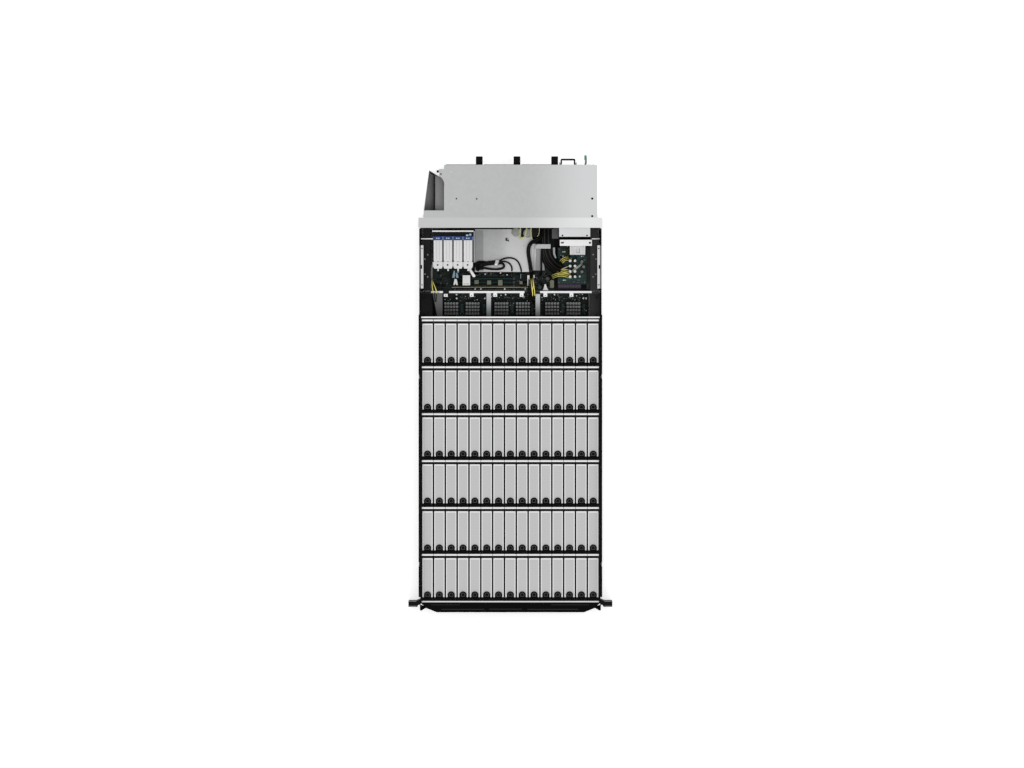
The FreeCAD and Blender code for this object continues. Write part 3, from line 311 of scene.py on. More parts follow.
# Painted shade: the pins fade darker towards the front
pin_grey = surface("pin_grey", (0.15, 0.145, 0.145), 0.45, 0.1, 1300, 0.2, 0.1, 0.2,
                   fade=(Y, 0.165, 0.193, (0.36, 0.37, 0.365)))
part_green = surface("part_green", (0.1, 0.16, 0.13), 0.5, 0, 900, 0.2, 0.1, 0.3)
round_grey = surface("round_grey", (0.3, 0.32, 0.28), 0.5, 0, 800, 0.15, 0.1)
olive_plastic = surface("olive_moulding", (0.2, 0.2, 0.13), 0.5, 0, 1200, 0.2, 0.12)
gold_metal = surface("gold_contact", (0.5, 0.38, 0.14), 0.35, 0.5, 1500, 0.15, 0.1)
brown_strip = surface("brown_strip", (0.32, 0.27, 0.13), 0.45, 0.2, 900, 0.3, 0.15,
                      lines=[(X, 0.0024, 0.0008, 0, (0.06, 0.05, 0.03))])
blue_plastic = surface("navy_moulding", (0.012, 0.034, 0.17), 0.42, 0, 1300, 0.15, 0.1, 0.2)
pale_blue = surface("pale_blue_moulding", (0.34, 0.5, 0.6), 0.42, 0, 1300, 0.12, 0.1)
purple_plastic = surface("purple_moulding", (0.05, 0.02, 0.06), 0.45, 0, 1300, 0.25, 0.1, 0.15)
green_plastic = surface("green_moulding", (0.01, 0.3, 0.14), 0.42, 0, 1300, 0.12, 0.12, 0.3)
cable_yellow = surface("yellow_sheath", (0.92, 0.82, 0.2), 0.42, 0, 1100, 0.12, 0.12, 0.3)
loop_yellow = surface("loop_yellow", (0.8, 0.79, 0.4), 0.45, 0, 900, 0.1, 0.1)
pale_wire = surface("pale_wire", (0.74, 0.78, 0.62), 0.5, 0, 900, 0.1, 0.1)
pink_wire = surface("pink_wire", (0.8, 0.66, 0.52), 0.5, 0, 900, 0.1, 0.1)
lamp_green = lamp("lamp_green", (0.05, 0.7, 0.15))
lamp_blue = lamp("lamp_blue", (0.05, 0.25, 0.8))


def dress(name, *looks):
    """Give a CAD node its materials; the answer is its faces."""
    mesh = nodes[name].data
    mesh.materials.clear()
    for look in looks:
        mesh.materials.append(look)
    return mesh.polygons


for look, *names in (
        (galvanised, "chassis_base", "rear_panel", "rear_cover"), (brace_metal, "cover_cross_brace"),
        (duct_grey, "rear_partitions"), (baffle_sheet, "baffle_plate"), (wall_black, "compartment_walls"),
        (lip_white, "front_wall"), (white_steel, "power_bracket"), (ticked_steel, "bay_crossbars"),
        (guide_white, "card_guides"), (latch_black, "front_bezel"), (board_dark, "midplane_board"),
        (board_green, "drive_backplanes", "motherboard", "memory_modules", "expansion_cards"),
        (board_teal, "power_board"), (block_dark, "midplane_connectors", "power_plugs"),
        (fin_metal, "cpu_heatsinks"), (cable_black, "black_cables"), (cable_yellow, "yellow_wires"),
        (lid_metal, *numbered("drive_handles_row_", ROWS)), (cast_metal, *numbered("drives_row_", ROWS)),
        (plated, "rear_ports", *numbered("power_supply_", SUPPLIES)),
        (black_steel, "side_walls", "inner_rails", *numbered("supply_bail_", SUPPLIES)),
        (black_plastic, "rack_ears", "power_button", *numbered("drive_latches_row_", ROWS),
         *numbered("fan_module_", FANS), *numbered("fan_rotor_", FANS)),
        (green_plastic, *numbered("supply_lever_", SUPPLIES))):
    for name in names:
        dress(name, look)
# By x in metres: the left bracket is darker than the others, the side strips duller than the rail
LEFT_BRACKET = -0.15
SIDE_STRIP = 0.2035
for face in dress("midplane_brackets", ramp_sheet, ramp_dark):
    face.material_index = int(face.center.x < LEFT_BRACKET)
for face in dress("support_rails", white_steel, strip_white):
    face.material_index = int(abs(face.center.x) > SIDE_STRIP)

# Camera straight above, front edge towards the bottom of the image
MM_PER_PIXEL = 2.366
IMAGE_WIDTH = 1024
VIEW_HEIGHT = 24
FOCUS_HEIGHT = 0.168
SENSOR = 36
camera_data = bpy.data.cameras.new("camera")
camera_data.sensor_width = SENSOR
camera_data.lens = SENSOR * VIEW_HEIGHT / (IMAGE_WIDTH * MM_PER_PIXEL * MM)
camera_data.clip_end = 100
camera = bpy.data.objects.new("camera", camera_data)
camera.location = (0.0038, -0.0007, FOCUS_HEIGHT + VIEW_HEIGHT)
camera.rotation_euler = (0, 0, 0)
scene.collection.objects.link(camera)
scene.camera = camera

# Floor, soft light and a plain world
scene.view_settings.view_transform = "Standard"
WHITE = (1, 1, 1, 1)
FLOOR_HALF = 14
FLOOR_GLOW = 0.5
AMBIENT = 0.6
LIGHT_TARGET = Vector((0, 0, 0.1))


def make_floor():
    mesh = bpy.data.meshes.new("floor")
    corners = [(x * FLOOR_HALF, y * FLOOR_HALF, 0) for x, y in ((-1, -1), (1, -1), (1, 1), (-1, 1))]
    mesh.from_pydata(corners, [], [(0, 1, 2, 3)])
    floor = bpy.data.objects.new("floor", mesh)
    scene.collection.objects.link(floor)
    made = bpy.data.materials.new("pale_floor")
    made.use_nodes = True
    tree = made.node_tree
    path = add_node(tree, "LightPath").outputs
    seen = calculate(tree, "MAXIMUM", path["Is Camera Ray"], path["Is Glossy Ray"])
    glow = calculate(tree, "MULTIPLY", seen, FLOOR_GLOW)
    shader = tree.nodes["Principled BSDF"]
    for socket, value in {"Base Color": (*grey(0.93), 1), "Roughness": 0.9, "Emission Color": WHITE,
                          "Emission Strength": glow}.items():
        put(tree, value, shader.inputs[socket])
    mesh.materials.append(made)


def make_light(name, location, size, power):
    data = bpy.data.lights.new(name, "AREA")
    data.shape = "DISK"
    data.size = size
    data.energy = power
    light = bpy.data.objects.new(name, data)
    light.location = location
    light.rotation_euler = (LIGHT_TARGET - Vector(location)).to_track_quat("-Z", "Y").to_euler()
    scene.collection.objects.link(light)


def make_world():
    scene.world = bpy.data.worlds.new("studio")
    scene.world.use_nodes = True
    tree = scene.world.node_tree
    path = add_node(tree, "LightPath").outputs
    seen = calculate(tree, "MULTIPLY", path["Is Camera Ray"], 1 - AMBIENT)
    background = tree.nodes["Background"]
    put(tree, WHITE, background.inputs["Color"])
    put(tree, calculate(tree, "ADD", seen, AMBIENT), background.inputs["Strength"])


make_floor()
make_world()
make_light("key_light", (0.4, -0.4, 4.7), 2.2, 66)
make_light("fill_light", (-2.2, 1.4, 3.2), 2.4, 16)

# Building pieces

WIRE_SIDES = 6


def circle(radius, sides):
    """The points of a round outline."""
    turns = [2 * math.pi * side / sides for side in range(sides)]
    return [(radius * math.cos(turn), radius * math.sin(turn)) for turn in turns]


def soften(obj, width, segments=2):
    """Small rounded edges that catch the light."""
    bevel = obj.modifiers.new("edge", "BEVEL")
    bevel.width = width * MM
    bevel.segments = segments
    bevel.limit_method = "ANGLE"
    bevel.angle_limit = math.radians(40)
    bevel.harden_normals = True


def add_looks(data, looks):
    """Give a mesh or curve each look once; the answer is their order."""
    slots = list(dict.fromkeys(looks))
    for look in slots:
        data.materials.append(look)
    return slots


def settle(name, data, body, replaces):
    """An object that rides on a body and may stand in for CAD nodes."""
    obj = bpy.data.objects.new(name, data)
    scene.collection.objects.link(obj)
    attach(obj, body)
    if replaces:
        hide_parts(*replaces)
    return obj


class Piece:
    """A mesh put together from simple forms, in millimetres, that becomes one named piece.

    A form without a look of its own takes the piece's look.
    """

    def __init__(self, name, slot, look, bevel=0.25, segments=2, body="chassis"):
        self.name = name
        self.slot = slot
        self.look = look
        self.bevel = bevel
        self.segments = segments
        self.body = body
        self.points = []
        self.faces = []
        self.looks = []

    def add(self, points, faces, looks):
        base = len(self.points)
        self.points += points
        self.faces += [[base + index for index in face] for face in faces]
        self.looks += looks

    def loft(self, outlines, look=None, caps=True, closed=False):
        """A skin over outlines that have the same number of points."""
        levels = len(outlines)
        first = list(range(len(outlines[0])))
        faces = []
        for level in range(levels if closed else levels - 1):
            low, high = level * len(first), (level + 1) % levels * len(first)
            faces += [[low + spot, low + after, high + after, high + spot]
                      for spot, after in zip(first, first[1:] + first[:1])]
        if caps:
            faces += [first[::-1], [(levels - 1) * len(first) + spot for spot in first]]
        points = [Vector(point) for outline in outlines for point in outline]
        self.add(points, faces, [look or self.look] * len(faces))

    def prism(self, outline, direction, look=None):
        """A flat outline of points carried along a direction."""
        shift = Vector(direction)
        near = [Vector(point) for point in outline]
        normal = sum((a.cross(b) for a, b in zip(near, near[1:] + near[:1])), Vector())
        if normal.dot(shift) < 0:
            near.reverse()
        self.loft([near, [point + shift for point in near]], look)

    def plan(self, outline, z0, z1, look=None):
        self.prism([(x, y, z0) for x, y in outline], (0, 0, z1 - z0), look)

    def box(self, x0, x1, y0, y1, z0, z1, look=None):
        self.plan([(x0, y0), (x1, y0), (x1, y1), (x0, y1)], z0, z1, look)

    def block(self, x, y, half_x, half_y, z0, z1, look=None):
        """A box given by its middle."""
        self.box(x - half_x, x + half_x, y - half_y, y + half_y, z0, z1, look)

    def boxes(self, shift, *rows):
        """Boxes moved by a shift; a row is what box takes."""
        dx, dy, dz = shift
        for x0, x1, y0, y1, z0, z1, *look in rows:
            self.box(x0 + dx, x1 + dx, y0 + dy, y1 + dy, z0 + dz, z1 + dz, *look)

    def lathe(self, profile, centre, look=None, sides=16, axis=UP):
        """A profile of (radius, height) pairs turned about an axis; both ends are closed."""
        turn = Vector(axis).to_track_quat("Z", "Y").to_matrix()
        self.loft([[Vector(centre) + turn @ Vector((x, y, height)) for x, y in circle(radius, sides)]
                   for radius, height in profile], look)

    def rod(self, centre, radius, length, look=None, sides=16, axis=UP):
        self.lathe([(radius, 0), (radius, length)], centre, look, sides, axis)

    def ring(self, centre, radius, thick, look=None, sides=24, axis=UP):
        """A round ring of round wire."""
        turn = Vector(axis).to_track_quat("Z", "Y").to_matrix()
        self.loft([[Vector(centre) + turn @ Vector(((radius + out) * x, (radius + out) * y, -rise))
                    for out, rise in circle(thick, WIRE_SIDES)] for x, y in circle(1, sides)],
                  look, caps=False, closed=True)

    def screw(self, x, y, z, radius, look, dark=None, axis=UP):
        """A low domed screw head, with a cross recess where it has a dark look."""
        dome = [(radius, 0), (radius, 0.5), (radius * 0.7, 1), (radius * 0.25, 1.15)]
        self.lathe(dome, (x, y, z), look, 12, axis)
        if dark is None:
            return
        along = Vector(axis)
        start = Vector((x, y, z)) + along * 0.95
        side = along.orthogonal().normalized()
        for turn in (side, along.cross(side)):
            reach = turn * radius * 0.6
            half = along.cross(turn) * radius * 0.12
            corners = [start - reach - half, start + reach - half,
                       start + reach + half, start - reach + half]
            self.prism(corners, along * 0.3, dark)

    def copies(self, template, shifts):
        """Every form of another piece, set at each shift."""
        for shift in shifts:
            self.add([point + Vector(shift) for point in template.points], template.faces, template.looks)

    def done(self, *replaces):
        mesh = bpy.data.meshes.new(self.name)
        mesh.from_pydata([place(*point) for point in self.points], [], self.faces)
        slots = add_looks(mesh, self.looks)
        mesh.polygons.foreach_set("material_index", [slots.index(look) for look in self.looks])
        mesh.validate()
        obj = settle(self.name, mesh, self.body, replaces)
        if self.bevel:
            soften(obj, self.bevel, self.segments)


def wires(name, slot, routes, radius, *replaces, body="chassis"):
    """Round wires along smooth lines; each route is (points, look)."""
    curve = bpy.data.curves.new(name, "CURVE")
    curve.dimensions = "3D"
    curve.bevel_depth = radius * MM
    curve.bevel_resolution = 2
    curve.use_fill_caps = True
    slots = add_looks(curve, [look for points, look in routes])
    for points, look in routes:
        spline = curve.splines.new("NURBS")
        spline.points.add(len(points) - 1)
        for spot, point in zip(spline.points, points):
            spot.co = (*place(*point), 1)
        spline.order_u = 3
        spline.use_endpoint_u = True
        spline.resolution_u = 6
        spline.material_index = slots.index(look)
    settle(name, curve, body, replaces)


# Drive bay: latches with rounded thumb tabs, trays and dividers

LATCH_BAR = 7.5
TAB_HALF = 8.5
TAB_LENGTH = 14
DIVIDER_X = (-14.65, -13.35)


def half_round(radius, y0, y1, steps=10):
    """Outline of a tab with straight sides and a half-round end."""
    crown = circle(radius, 2 * steps)[:steps + 1]
    return [(-radius, y0), (radius, y0)] + [(x, y1 - radius + y) for x, y in crown]


def latch_template():
    """A bar across the drive, a half-round tab and a raised ring on it."""
    form = Piece("latch", "", latch_black)
    z0, z1 = LATCH_Z
    half = DRIVE_X / 2
    end = LATCH_BAR + TAB_LENGTH
    form.box(-half, half, 0, LATCH_BAR, z0, z1 - 0.4)
    form.plan(half_round(TAB_HALF, LATCH_BAR - 0.5, end), z0, z1 - 0.7)
    outer = half_round(4.9, LATCH_BAR + 1.6, end - 3.2)
    inner = half_round(3.4, LATCH_BAR + 3, end - 4.7)
    levels = ((outer, z1 - 0.8), (outer, z1), (inner, z1), (inner, z1 - 0.8))
    form.loft([[(x, y, z) for x, y in edge] for edge, z in levels], ring_grey, caps=False)
    form.boxes((0, 0, z1), (-1.1, 1.1, end - 4, end - 1.5, -0.7, -0.05, chip_black),
               (-12, -9.6, 2, 5.5, -0.5, -0.05, chip_black), (9.6, 12, 2, 5.5, -0.5, -0.05, chip_black))
    return form


def tray_template():
    """What shows of a drive when it is lifted: tray rails, cross ribs and screws."""
    form = Piece("tray", "", tray_metal)
    z0, z1 = DRIVE_Z
    half = DRIVE_X / 2
    for side in SIDES:
        for y0, y1 in ((-0.45, 1), (DRIVE_Y - 1, DRIVE_Y + 1.2)):
            form.block(side * (half - 1.3), (y0 + y1) / 2, 1.2, (y1 - y0) / 2, z0 + 6, z1 - 2)
    for z in (z0 + 8, (z0 + z1) / 2, z1 - 6):
        for y0, y1 in ((-0.4, 1), (DRIVE_Y - 1, DRIVE_Y + 1)):
            form.box(2 - half, half - 2, y0, y1, z - 1.5, z + 1.5)
    for z in (z0 + 30, z1 - 30):
        form.screw(0, DRIVE_Y, z, 2, ring_grey, axis=REARWARD)
    return form


latch = latch_template()
tray = tray_template()
dividers = Piece("bay_dividers", "black_steel", black_steel, 0.15)
for row in range(ROWS):
    label = "row_" + str(row + 1)
    start = FIRST_ROW + row * ROW_PITCH
    centres = [column_x(column) for column in range(COLUMNS)]
    tabs = Piece("latch_tabs_" + label, "black_plastic", latch_black, 0.3, 1, "drive_latches_" + label)
    tabs.copies(latch, [(x, start + 0.3, 0) for x in centres])
    tabs.done("drive_latches_" + label)
    rails = Piece("tray_rails_" + label, "drive_casting", tray_metal, 0, body="drives_" + label)
    rails.copies(tray, [(x, start, 0) for x in centres])
    rails.done()
    soften(nodes["drive_handles_" + label], 0.6)
    dividers.box(*DIVIDER_X, start + 1, start + DRIVE_Y, 20, HANDLE_TOP + 1.5)
dividers.done()
lip = Piece("rear_bay_lip", "white_steel", white_steel, 0.2)
lip.box(-211.4, 211.4, 673.4, 677, 167.4, 170)
for column in range(COLUMNS + 1):
    lip.block(column_x(column) - COLUMN_PITCH / 2, 671.75, 3, 2.75, 164, 166.5, black_steel)
lip.done()

# Connector board behind the drives

BLOCK_SPOTS = (-140.5, -89.9, -21.3, 29.8, 99.4, 150)
BLOCK_Y = 697
BLOCK_TOP = BOARD_TOP + 46
TAB_SPOTS = (-153, -91.6, -36, 26.7, 82.8, 144.6)
SOCKET_SPOTS = (-115.2, -63, 4.3, 52, 124.7, 175)
POSTS = ((-128, 730), (-128, 721), (-60.6, 721), (-11.4, 730), (104.6, 730), (173.4, 721), (180, 721))
POST_CLEAR = 7

pins = Piece("connector_pins", "light_plastic", pin_grey, 0.2, 1)
for x in BLOCK_SPOTS:
    for column in range(5):
        for line in range(4):
            px = x + (column - 2) * 6.9
            py = BLOCK_Y + (line - 1.5) * 8
            pins.block(px, py, 2.3, 2.3, BLOCK_TOP - 0.2, BLOCK_TOP + 1.6)
            pins.lathe([(1.1, 0), (1.1, 0.5), (0.6, 0.7)], (px, py, BLOCK_TOP + 1.4), block_dark, 8)
    for side in SIDES:
        pins.block(x + side * 16.9, BLOCK_Y, 0.5, 12, BLOCK_TOP - 14, BLOCK_TOP + 2.4, block_dark)
    for column in range(12):
        pins.block(x - 14.3 + column * 2.6, 715.75, 0.5, 1.75, BOARD_TOP - SUNK, BOARD_TOP + 1.2, block_dark)
pins.done()

random.seed(7)


def scatter(piece, x0, x1, y0, y1, z, count, lead_look, can_look, block_look, keep_out=()):
    """Small parts on a board: chips with leads, canisters and rows of tiny blocks."""
    for part in range(count):
        wide = random.uniform(3, 9)
        deep = random.uniform(2, 7)
        tall = random.uniform(1, 4)
        x = random.uniform(x0 + wide, x1 - wide)
        y = random.uniform(y0 + deep, y1 - deep)
        kind = random.random()
        if any(a - wide < x < b + wide and c - deep < y < d + deep for a, b, c, d in keep_out):
            continue
        if kind < 0.45:
            piece.block(x, y, wide / 2, deep / 2, z - SUNK, z + tall, chip_black)
            leads = int(wide / 1.3)
            for lead in range(leads):
                lead_x = x - wide / 2 + (lead + 0.5) * wide / leads
                piece.block(lead_x, y, 0.3, deep / 2 + 0.8, z - 0.05, z + 0.4, lead_look)
        elif kind < 0.65:
            radius = random.uniform(1.6, 3.2)
            piece.lathe([(radius, 0), (radius, tall * 2), (radius * 0.85, tall * 2 + 0.5)], (x, y, z - SUNK),
                        can_look if kind < 0.55 else chip_black, 12)
        else:
            for step in range(4):
                look = block_look if step % 2 else lead_look
                piece.block(x + step * 1.9, y, 0.6, 1.1, z - SUNK, z + 0.9, look)


chips = Piece("midplane_chips", "green_board", chip_black, 0.12, 1)
scatter(chips, -158, 180, 671, 732, BOARD_TOP, 150, dot_grey, ring_grey, grey_plastic,
        [(x - 20, x + 20, 676, 716) for x in BLOCK_SPOTS])
for x, y in POSTS:
    chips.lathe([(2.3, 0), (2.3, 60), (1.8, 61), (0.6, 61.4)], (x, y, BOARD_TOP - SUNK), white_plastic, 12)
for x in SOCKET_SPOTS:
    chips.block(x, BLOCK_Y, 3.4, 11, BOARD_TOP - SUNK, BOARD_TOP + 14, board_teal)
    chips.block(x, BLOCK_Y, 1.2, 9, BOARD_TOP + 13.8, BOARD_TOP + 15, ring_grey)
    for post in range(9):
        px, py = x + random.uniform(-5.5, 5.5), random.uniform(684, 712)
        tall, half = random.uniform(16, 44), random.uniform(0.6, 1.3)
        chips.block(px, py, half, half, BOARD_TOP - SUNK, BOARD_TOP + tall,
                    random.choice((dot_grey, board_teal, board_teal, part_green, part_green)))
for post in range(190):
    px, py = random.uniform(-156, 178), random.uniform(715, 731)
    tall, half = random.uniform(10, 46), random.uniform(0.5, 1.4)
    look = random.choice((dot_grey, dot_grey, grey_plastic, board_teal, white_plastic,
                          part_green, part_green))
    if all(abs(px - x) > POST_CLEAR or abs(py - y) > POST_CLEAR for x, y in POSTS):
        chips.block(px, py, half, half * 0.8, BOARD_TOP - SUNK, BOARD_TOP + tall, look)
chips.done()

ZONE_Y = (671.5, 732.6)
ZONE_TOP = 119.2
ZONE_SIDE = 211.3
RAIL_Y = (730.6, 737.2)
panels = Piece("zone_side_panels", "black_steel", wall_black, 0.4)
panels.boxes(ORIGIN, (-ZONE_SIDE, -184.6, *ZONE_Y, 118, ZONE_TOP), (187, ZONE_SIDE, *ZONE_Y, 118, ZONE_TOP),
             (-211.2, -210, *ZONE_Y, 119, 150), (210, 211.2, *ZONE_Y, 119, 150),
             (-ZONE_SIDE, -187.4, *RAIL_Y, 151.1, 152.4), (192.5, ZONE_SIDE, *RAIL_Y, 151.1, 152.4),
             (33.6, 69.8, *RAIL_Y, 151.1, 152.6, chip_black),
             (-159.5, -145.3, 731, 743, 151.2, 154, chip_black),
             (-157.5, -147.3, 733, 741, 153.8, 156, chip_black))
for x in (-204, 204):
    for y in (682, 722):
        panels.screw(x, y, ZONE_TOP, 2.2, chip_black, wall_black)
panels.done()

# Electronics compartment: card ends and guides

CARD_X = [-171.5 + 23.7 * index for index in range(4)]
GUIDE_FOOT = ((-11.5, 806.4), (11.5, 806.4), (11.5, 797), (8.8, 790.6), (-8.8, 790.6), (-11.5, 797))
cards = Piece("card_ends", "light_plastic", white_plastic)
for x in CARD_X:
    cards.boxes((x, 0, 0), (-11.6, 11.6, 858, 867, 144, 151.8, blue_plastic),
                (-4.6, -1.2, 861, 864, 151.6, 152.2, pale_blue),
                (0.4, 3.6, 861, 864, 151.6, 152.2, pale_blue),
                (-11.6, 11.6, 866.8, 877.8, 140, 151.4, chip_black),
                (11.3, 12.4, 858.2, 866.4, 146, 152, pale_blue), (-1.6, 2, 785.2, 793.6, 128, 140))
    for slot in range(4):
        cards.block(x - 6.9 + slot * 4.4, 872.3, 1.5, 3.3, 151.2, 152, chip_black)
    cards.boxes((x, 0, GUIDE_TOP), (-9.9, -8.5, 809, 857.6, -0.3, 0.6),
                (-4, -3.2, 811, 856, -0.3, 0.35, strap_grey), (3, 3.8, 811, 856, -0.3, 0.35, strap_grey))
    cards.plan([(x + dx, y) for dx, y in GUIDE_FOOT], GUIDE_TOP - 1, GUIDE_TOP + 0.2, guide_white)
    for edge in (x - 11.85, x + 11.85):
        cards.block(edge, 832.7, 1.2, 24.7, GUIDE_TOP - 1.6, GUIDE_TOP - 0.3, chip_black)
        cards.lathe([(2.2, 0), (2.2, 4), (1.8, 4.4)], (edge, 808.6, GUIDE_TOP - 3.6), chip_black, 14)
    cards.rod((x - 0.8, 799.4, GUIDE_TOP - 0.4), 2.1, 1, chip_black, 14)
cards.boxes(ORIGIN, (-185, -87.4, 877.6, 881.2, 146, 152.2), (-100, -96, 791, 797, 122, 149.2),
            (-105, -99.5, 867.6, 871.5, 151.2, 152.6, pale_blue),
            (-97.5, -92.5, 869, 873.2, 151.2, 152.6, pale_blue),
            (-184.6, -182.8, 793, 858, BOARD_TOP, 147.8, strap_grey),
            (-87.2, -84.4, 806, 880, BOARD_TOP, 122, strap_grey))
cards.plan([(-100.3, 790.7), (-95.6, 793), (-82.4, 773.6), (-84.6, 770.6), (-89, 771.2)], 122, 126)
cards.done()

# Baffle plate over the main board, and the wing beside it

BAFFLE_LOW = BAFFLE_TOP - SUNK
BAFFLE_HIGH = BAFFLE_TOP + 0.8
plate = Piece("baffle_fittings", "galvanised_steel", grey_sheet, 0.3)
# The last box is the wing's left strip in the lit copy, painted light
plate.boxes(ORIGIN, (-83.6, -64.5, 786, 882, BAFFLE_LOW, BAFFLE_HIGH, strip_grey),
            (43, 44, 789, 851, BAFFLE_LOW, BAFFLE_HIGH, strip_grey),
            (-63.5, 42.5, 785.2, 787.2, BAFFLE_LOW, BAFFLE_HIGH, plated),
            (51.4, 60, 787, 850, 93.8, 95, wing_painted_light))
for line in range(6):
    plate.rod((-77.5, 800 + line * 14.5, BAFFLE_TOP + 0.6), 1.5 + 0.7 * (line % 2), 0.4, round_grey, 12)
    plate.rod((-69.5, 806 + line * 14.5, BAFFLE_TOP + 0.6), 1.2, 0.4, round_grey, 10)
for x, y in ((13.2, 878), (41, 875.5)):
    plate.lathe([(10.6, 0), (10.6, 2), (9.4, 3.6), (6, 4.2), (2, 4.4)], (x, y, BAFFLE_LOW), round_grey, 28)
plate.rod((-4.7, 857.2, BAFFLE_TOP - 0.2), 1.8, 0.6, chip_black, 14)
for x, y in ((-58, 880), (-50, 828), (32, 846), (-20, 838)):
    plate.lathe([(1.6, 0), (1.6, 0.4), (1, 0.7)], (x, y, BAFFLE_LOW), sides=12)
# The wing's right part in the shaded copy, painted shade
plate.plan([(59.9, 787), (74.5, 787), (74.5, 838), (66, 850), (59.9, 850)], 93.7, 94.9, wing_painted_shade)
plate.plan([(74.4, 787), (81.5, 787.6), (79, 806), (74.4, 806)], 93.8, 95, strip_grey)
plate.plan([(26, 886), (38, 886), (33.5, 866), (24.5, 866)], BAFFLE_LOW, BAFFLE_TOP + 1.6, chip_black)
plate.plan([(50.6, 885), (67, 885), (65.5, 871), (59, 864.5), (53, 867)], BOARD_TOP - SUNK, 105.4, chip_black)
plate.done()

# Screws and studs on the compartment's walls and ledges

LEDGE_SCREWS = ((196.1, 823.8), (203, 813.2), (202.5, 777.6), (196.1, 771.2))
walls = Piece("wall_fasteners", "galvanised_steel", bright_metal, 0.15)
for side in SIDES:
    for x, y in LEDGE_SCREWS:
        walls.lathe([(2.2, 0), (2.2, 0.7), (1.4, 1.2), (0.6, 1.3)], (side * x, y, LEDGE_TOP), screw_grey, 12)
    for y in (752, 838):
        walls.rod((side * 209, y, WALL_TOP), 1.5, 0.5, chip_black, 12)
    for y in (788, 836, 868):
        walls.block(side * 197, y, 6, 3, LEDGE_TOP - SUNK, LEDGE_TOP + 1, wall_black)
for x in TAB_SPOTS:
    walls.lathe([(1.1, 0), (1.1, 0.25), (0.7, 0.4)], (x, 727, LEDGE_TOP), chip_black, 10)
for x in (-205, -110, -60, 0, 100, 190):
    walls.lathe([(1.2, 0), (1.2, 0.3), (0.7, 0.5)], (x, 735.2, LEDGE_TOP), sides=10)
walls.done()

# Main board: memory, sockets, plugs and posts; heights count from the board

MODULE_PITCH = 8.8
MODULE_TOP = 31.6
board = Piece("main_board_parts", "green_board", chip_black, 0.15, 1)
for x0, x1, y0, y1, count, look in ((-182, -142, 740, 790, 30, ring_grey), (8, 102, 742, 786, 60, dot_grey),
                                    (76, 102, 790, 884, 24, ring_grey), (-128, 4, 774, 787, 60, dot_grey)):
    scatter(board, x0, x1, y0, y1, BOARD_TOP, count, look, grey_plastic, grey_plastic)
for index in range(4):
    middle = (0, COMPARTMENT_Y + MODULE_PITCH * (index + 0.5), BOARD_TOP)
    board.boxes(middle, (-134.2, -129.4, -2.6, 2.6, 0, 22, grey_plastic),
                (5.8, 10.6, -2.6, 2.6, 0, 22, grey_plastic), (-127, 3.5, -0.7, 0.7, 30.9, 31.5, board_teal))
    for chip in range(8):
        x = -121 + chip * 15.6
        board.boxes(middle, (x, x + 11, -2.15, -0.95, 14, 27), (x, x + 11, 0.95, 2.15, 14, 27))
board.boxes(ON_BOARD, (-140, 46.5, 746.2, 748.4, MODULE_TOP, 36, brown_strip),
            (-139, 45.5, 743.6, 745, MODULE_TOP, 33),
            (-113.3, -95.6, 751.7, 775.4, MODULE_TOP, 96, white_plastic),
            (-111.3, -97.6, 754.4, 755.6, 95.8, 96.5, dot_grey),
            (-140.5, -121.6, 768.2, 789.5, 0, 30, board_teal),
            (40.4, 45.2, 750.5, 775.4, 0, 90, white_plastic), (42.5, 43.1, 752, 774, 89.8, 90.5, dot_grey),
            (54.4, 57.6, 769.5, 776.5, 0, 60, white_plastic),
            (1.9, 3.1, 773.4, 780, -SUNK, 44, grey_plastic), (23.9, 25.2, 768.2, 784.8, 0, 50, pale_blue),
            (22, 29, 755, 762, 0, 30, brown_strip))
for x0, x1, y0, y1 in ((-85.5, -75.5, 755.2, 764.7), (-55.4, -45.9, 754, 763.5),
                       (-29.3, -18.7, 751.7, 764.7)):
    board.boxes(ON_BOARD, (x0, x1, y0, y1, MODULE_TOP, 42, olive_plastic),
                (x0 + 2, x1 - 2, y0 + 2, y1 - 2, 41.8, 42.6, olive_plastic))
for x in (-83.8, -70.2, -13.4, 35.5):
    board.lathe([(2.1, 0), (2.1, 1.2), (1.2, 2)], (x, 743.4, BOARD_TOP + 32.8), white_plastic, 12)
for x, y in ((-23.7, 781.8), (-60, 779), (-8, 777)):
    board.lathe([(2.1, 0), (2.1, 34), (1.2, 34.8)], (x, y, BOARD_TOP - SUNK), white_plastic, 12)
for outline, low, high, look in (
        ([(-138.5, 770), (-132, 770), (-131.4, 785), (-134, 788)], 29.8, 62, pale_blue),
        ([(-129.6, 770), (-123, 770), (-125.4, 780), (-129.6, 782)], 29.8, 54, pale_blue),
        ([(-126.6, 782), (-122.6, 782), (-122.6, 793), (-125.6, 793)], 29.8, 70, pale_blue),
        ([(-135.4, 752.3), (-132, 752.3), (-130, 757), (-128.4, 752.3), (-124.6, 752.3), (-127.5, 766.6),
          (-132.5, 766.6)], MODULE_TOP, 90, white_plastic),
        ([(77.1, 740), (90.1, 740), (86.6, 746.5), (84.2, 754), (81.4, 754), (79.6, 747)], 0, 96,
         white_plastic),
        ([(94, 748), (96, 746), (102, 746), (103.8, 748), (103.8, 762.6), (102, 764.6), (96, 764.6),
          (94, 762.6)], 0, 34, olive_plastic)):
    board.plan(outline, BOARD_TOP + low, BOARD_TOP + high, look)
for x, y in ((88.5, 768), (70, 748)):
    board.lathe([(5, 0), (5, 30), (4.4, 31), (1, 31.2)], (x, y, BOARD_TOP), grey_plastic, 20)
board.done()

# Power board, and the bracket with the ribbed block above it

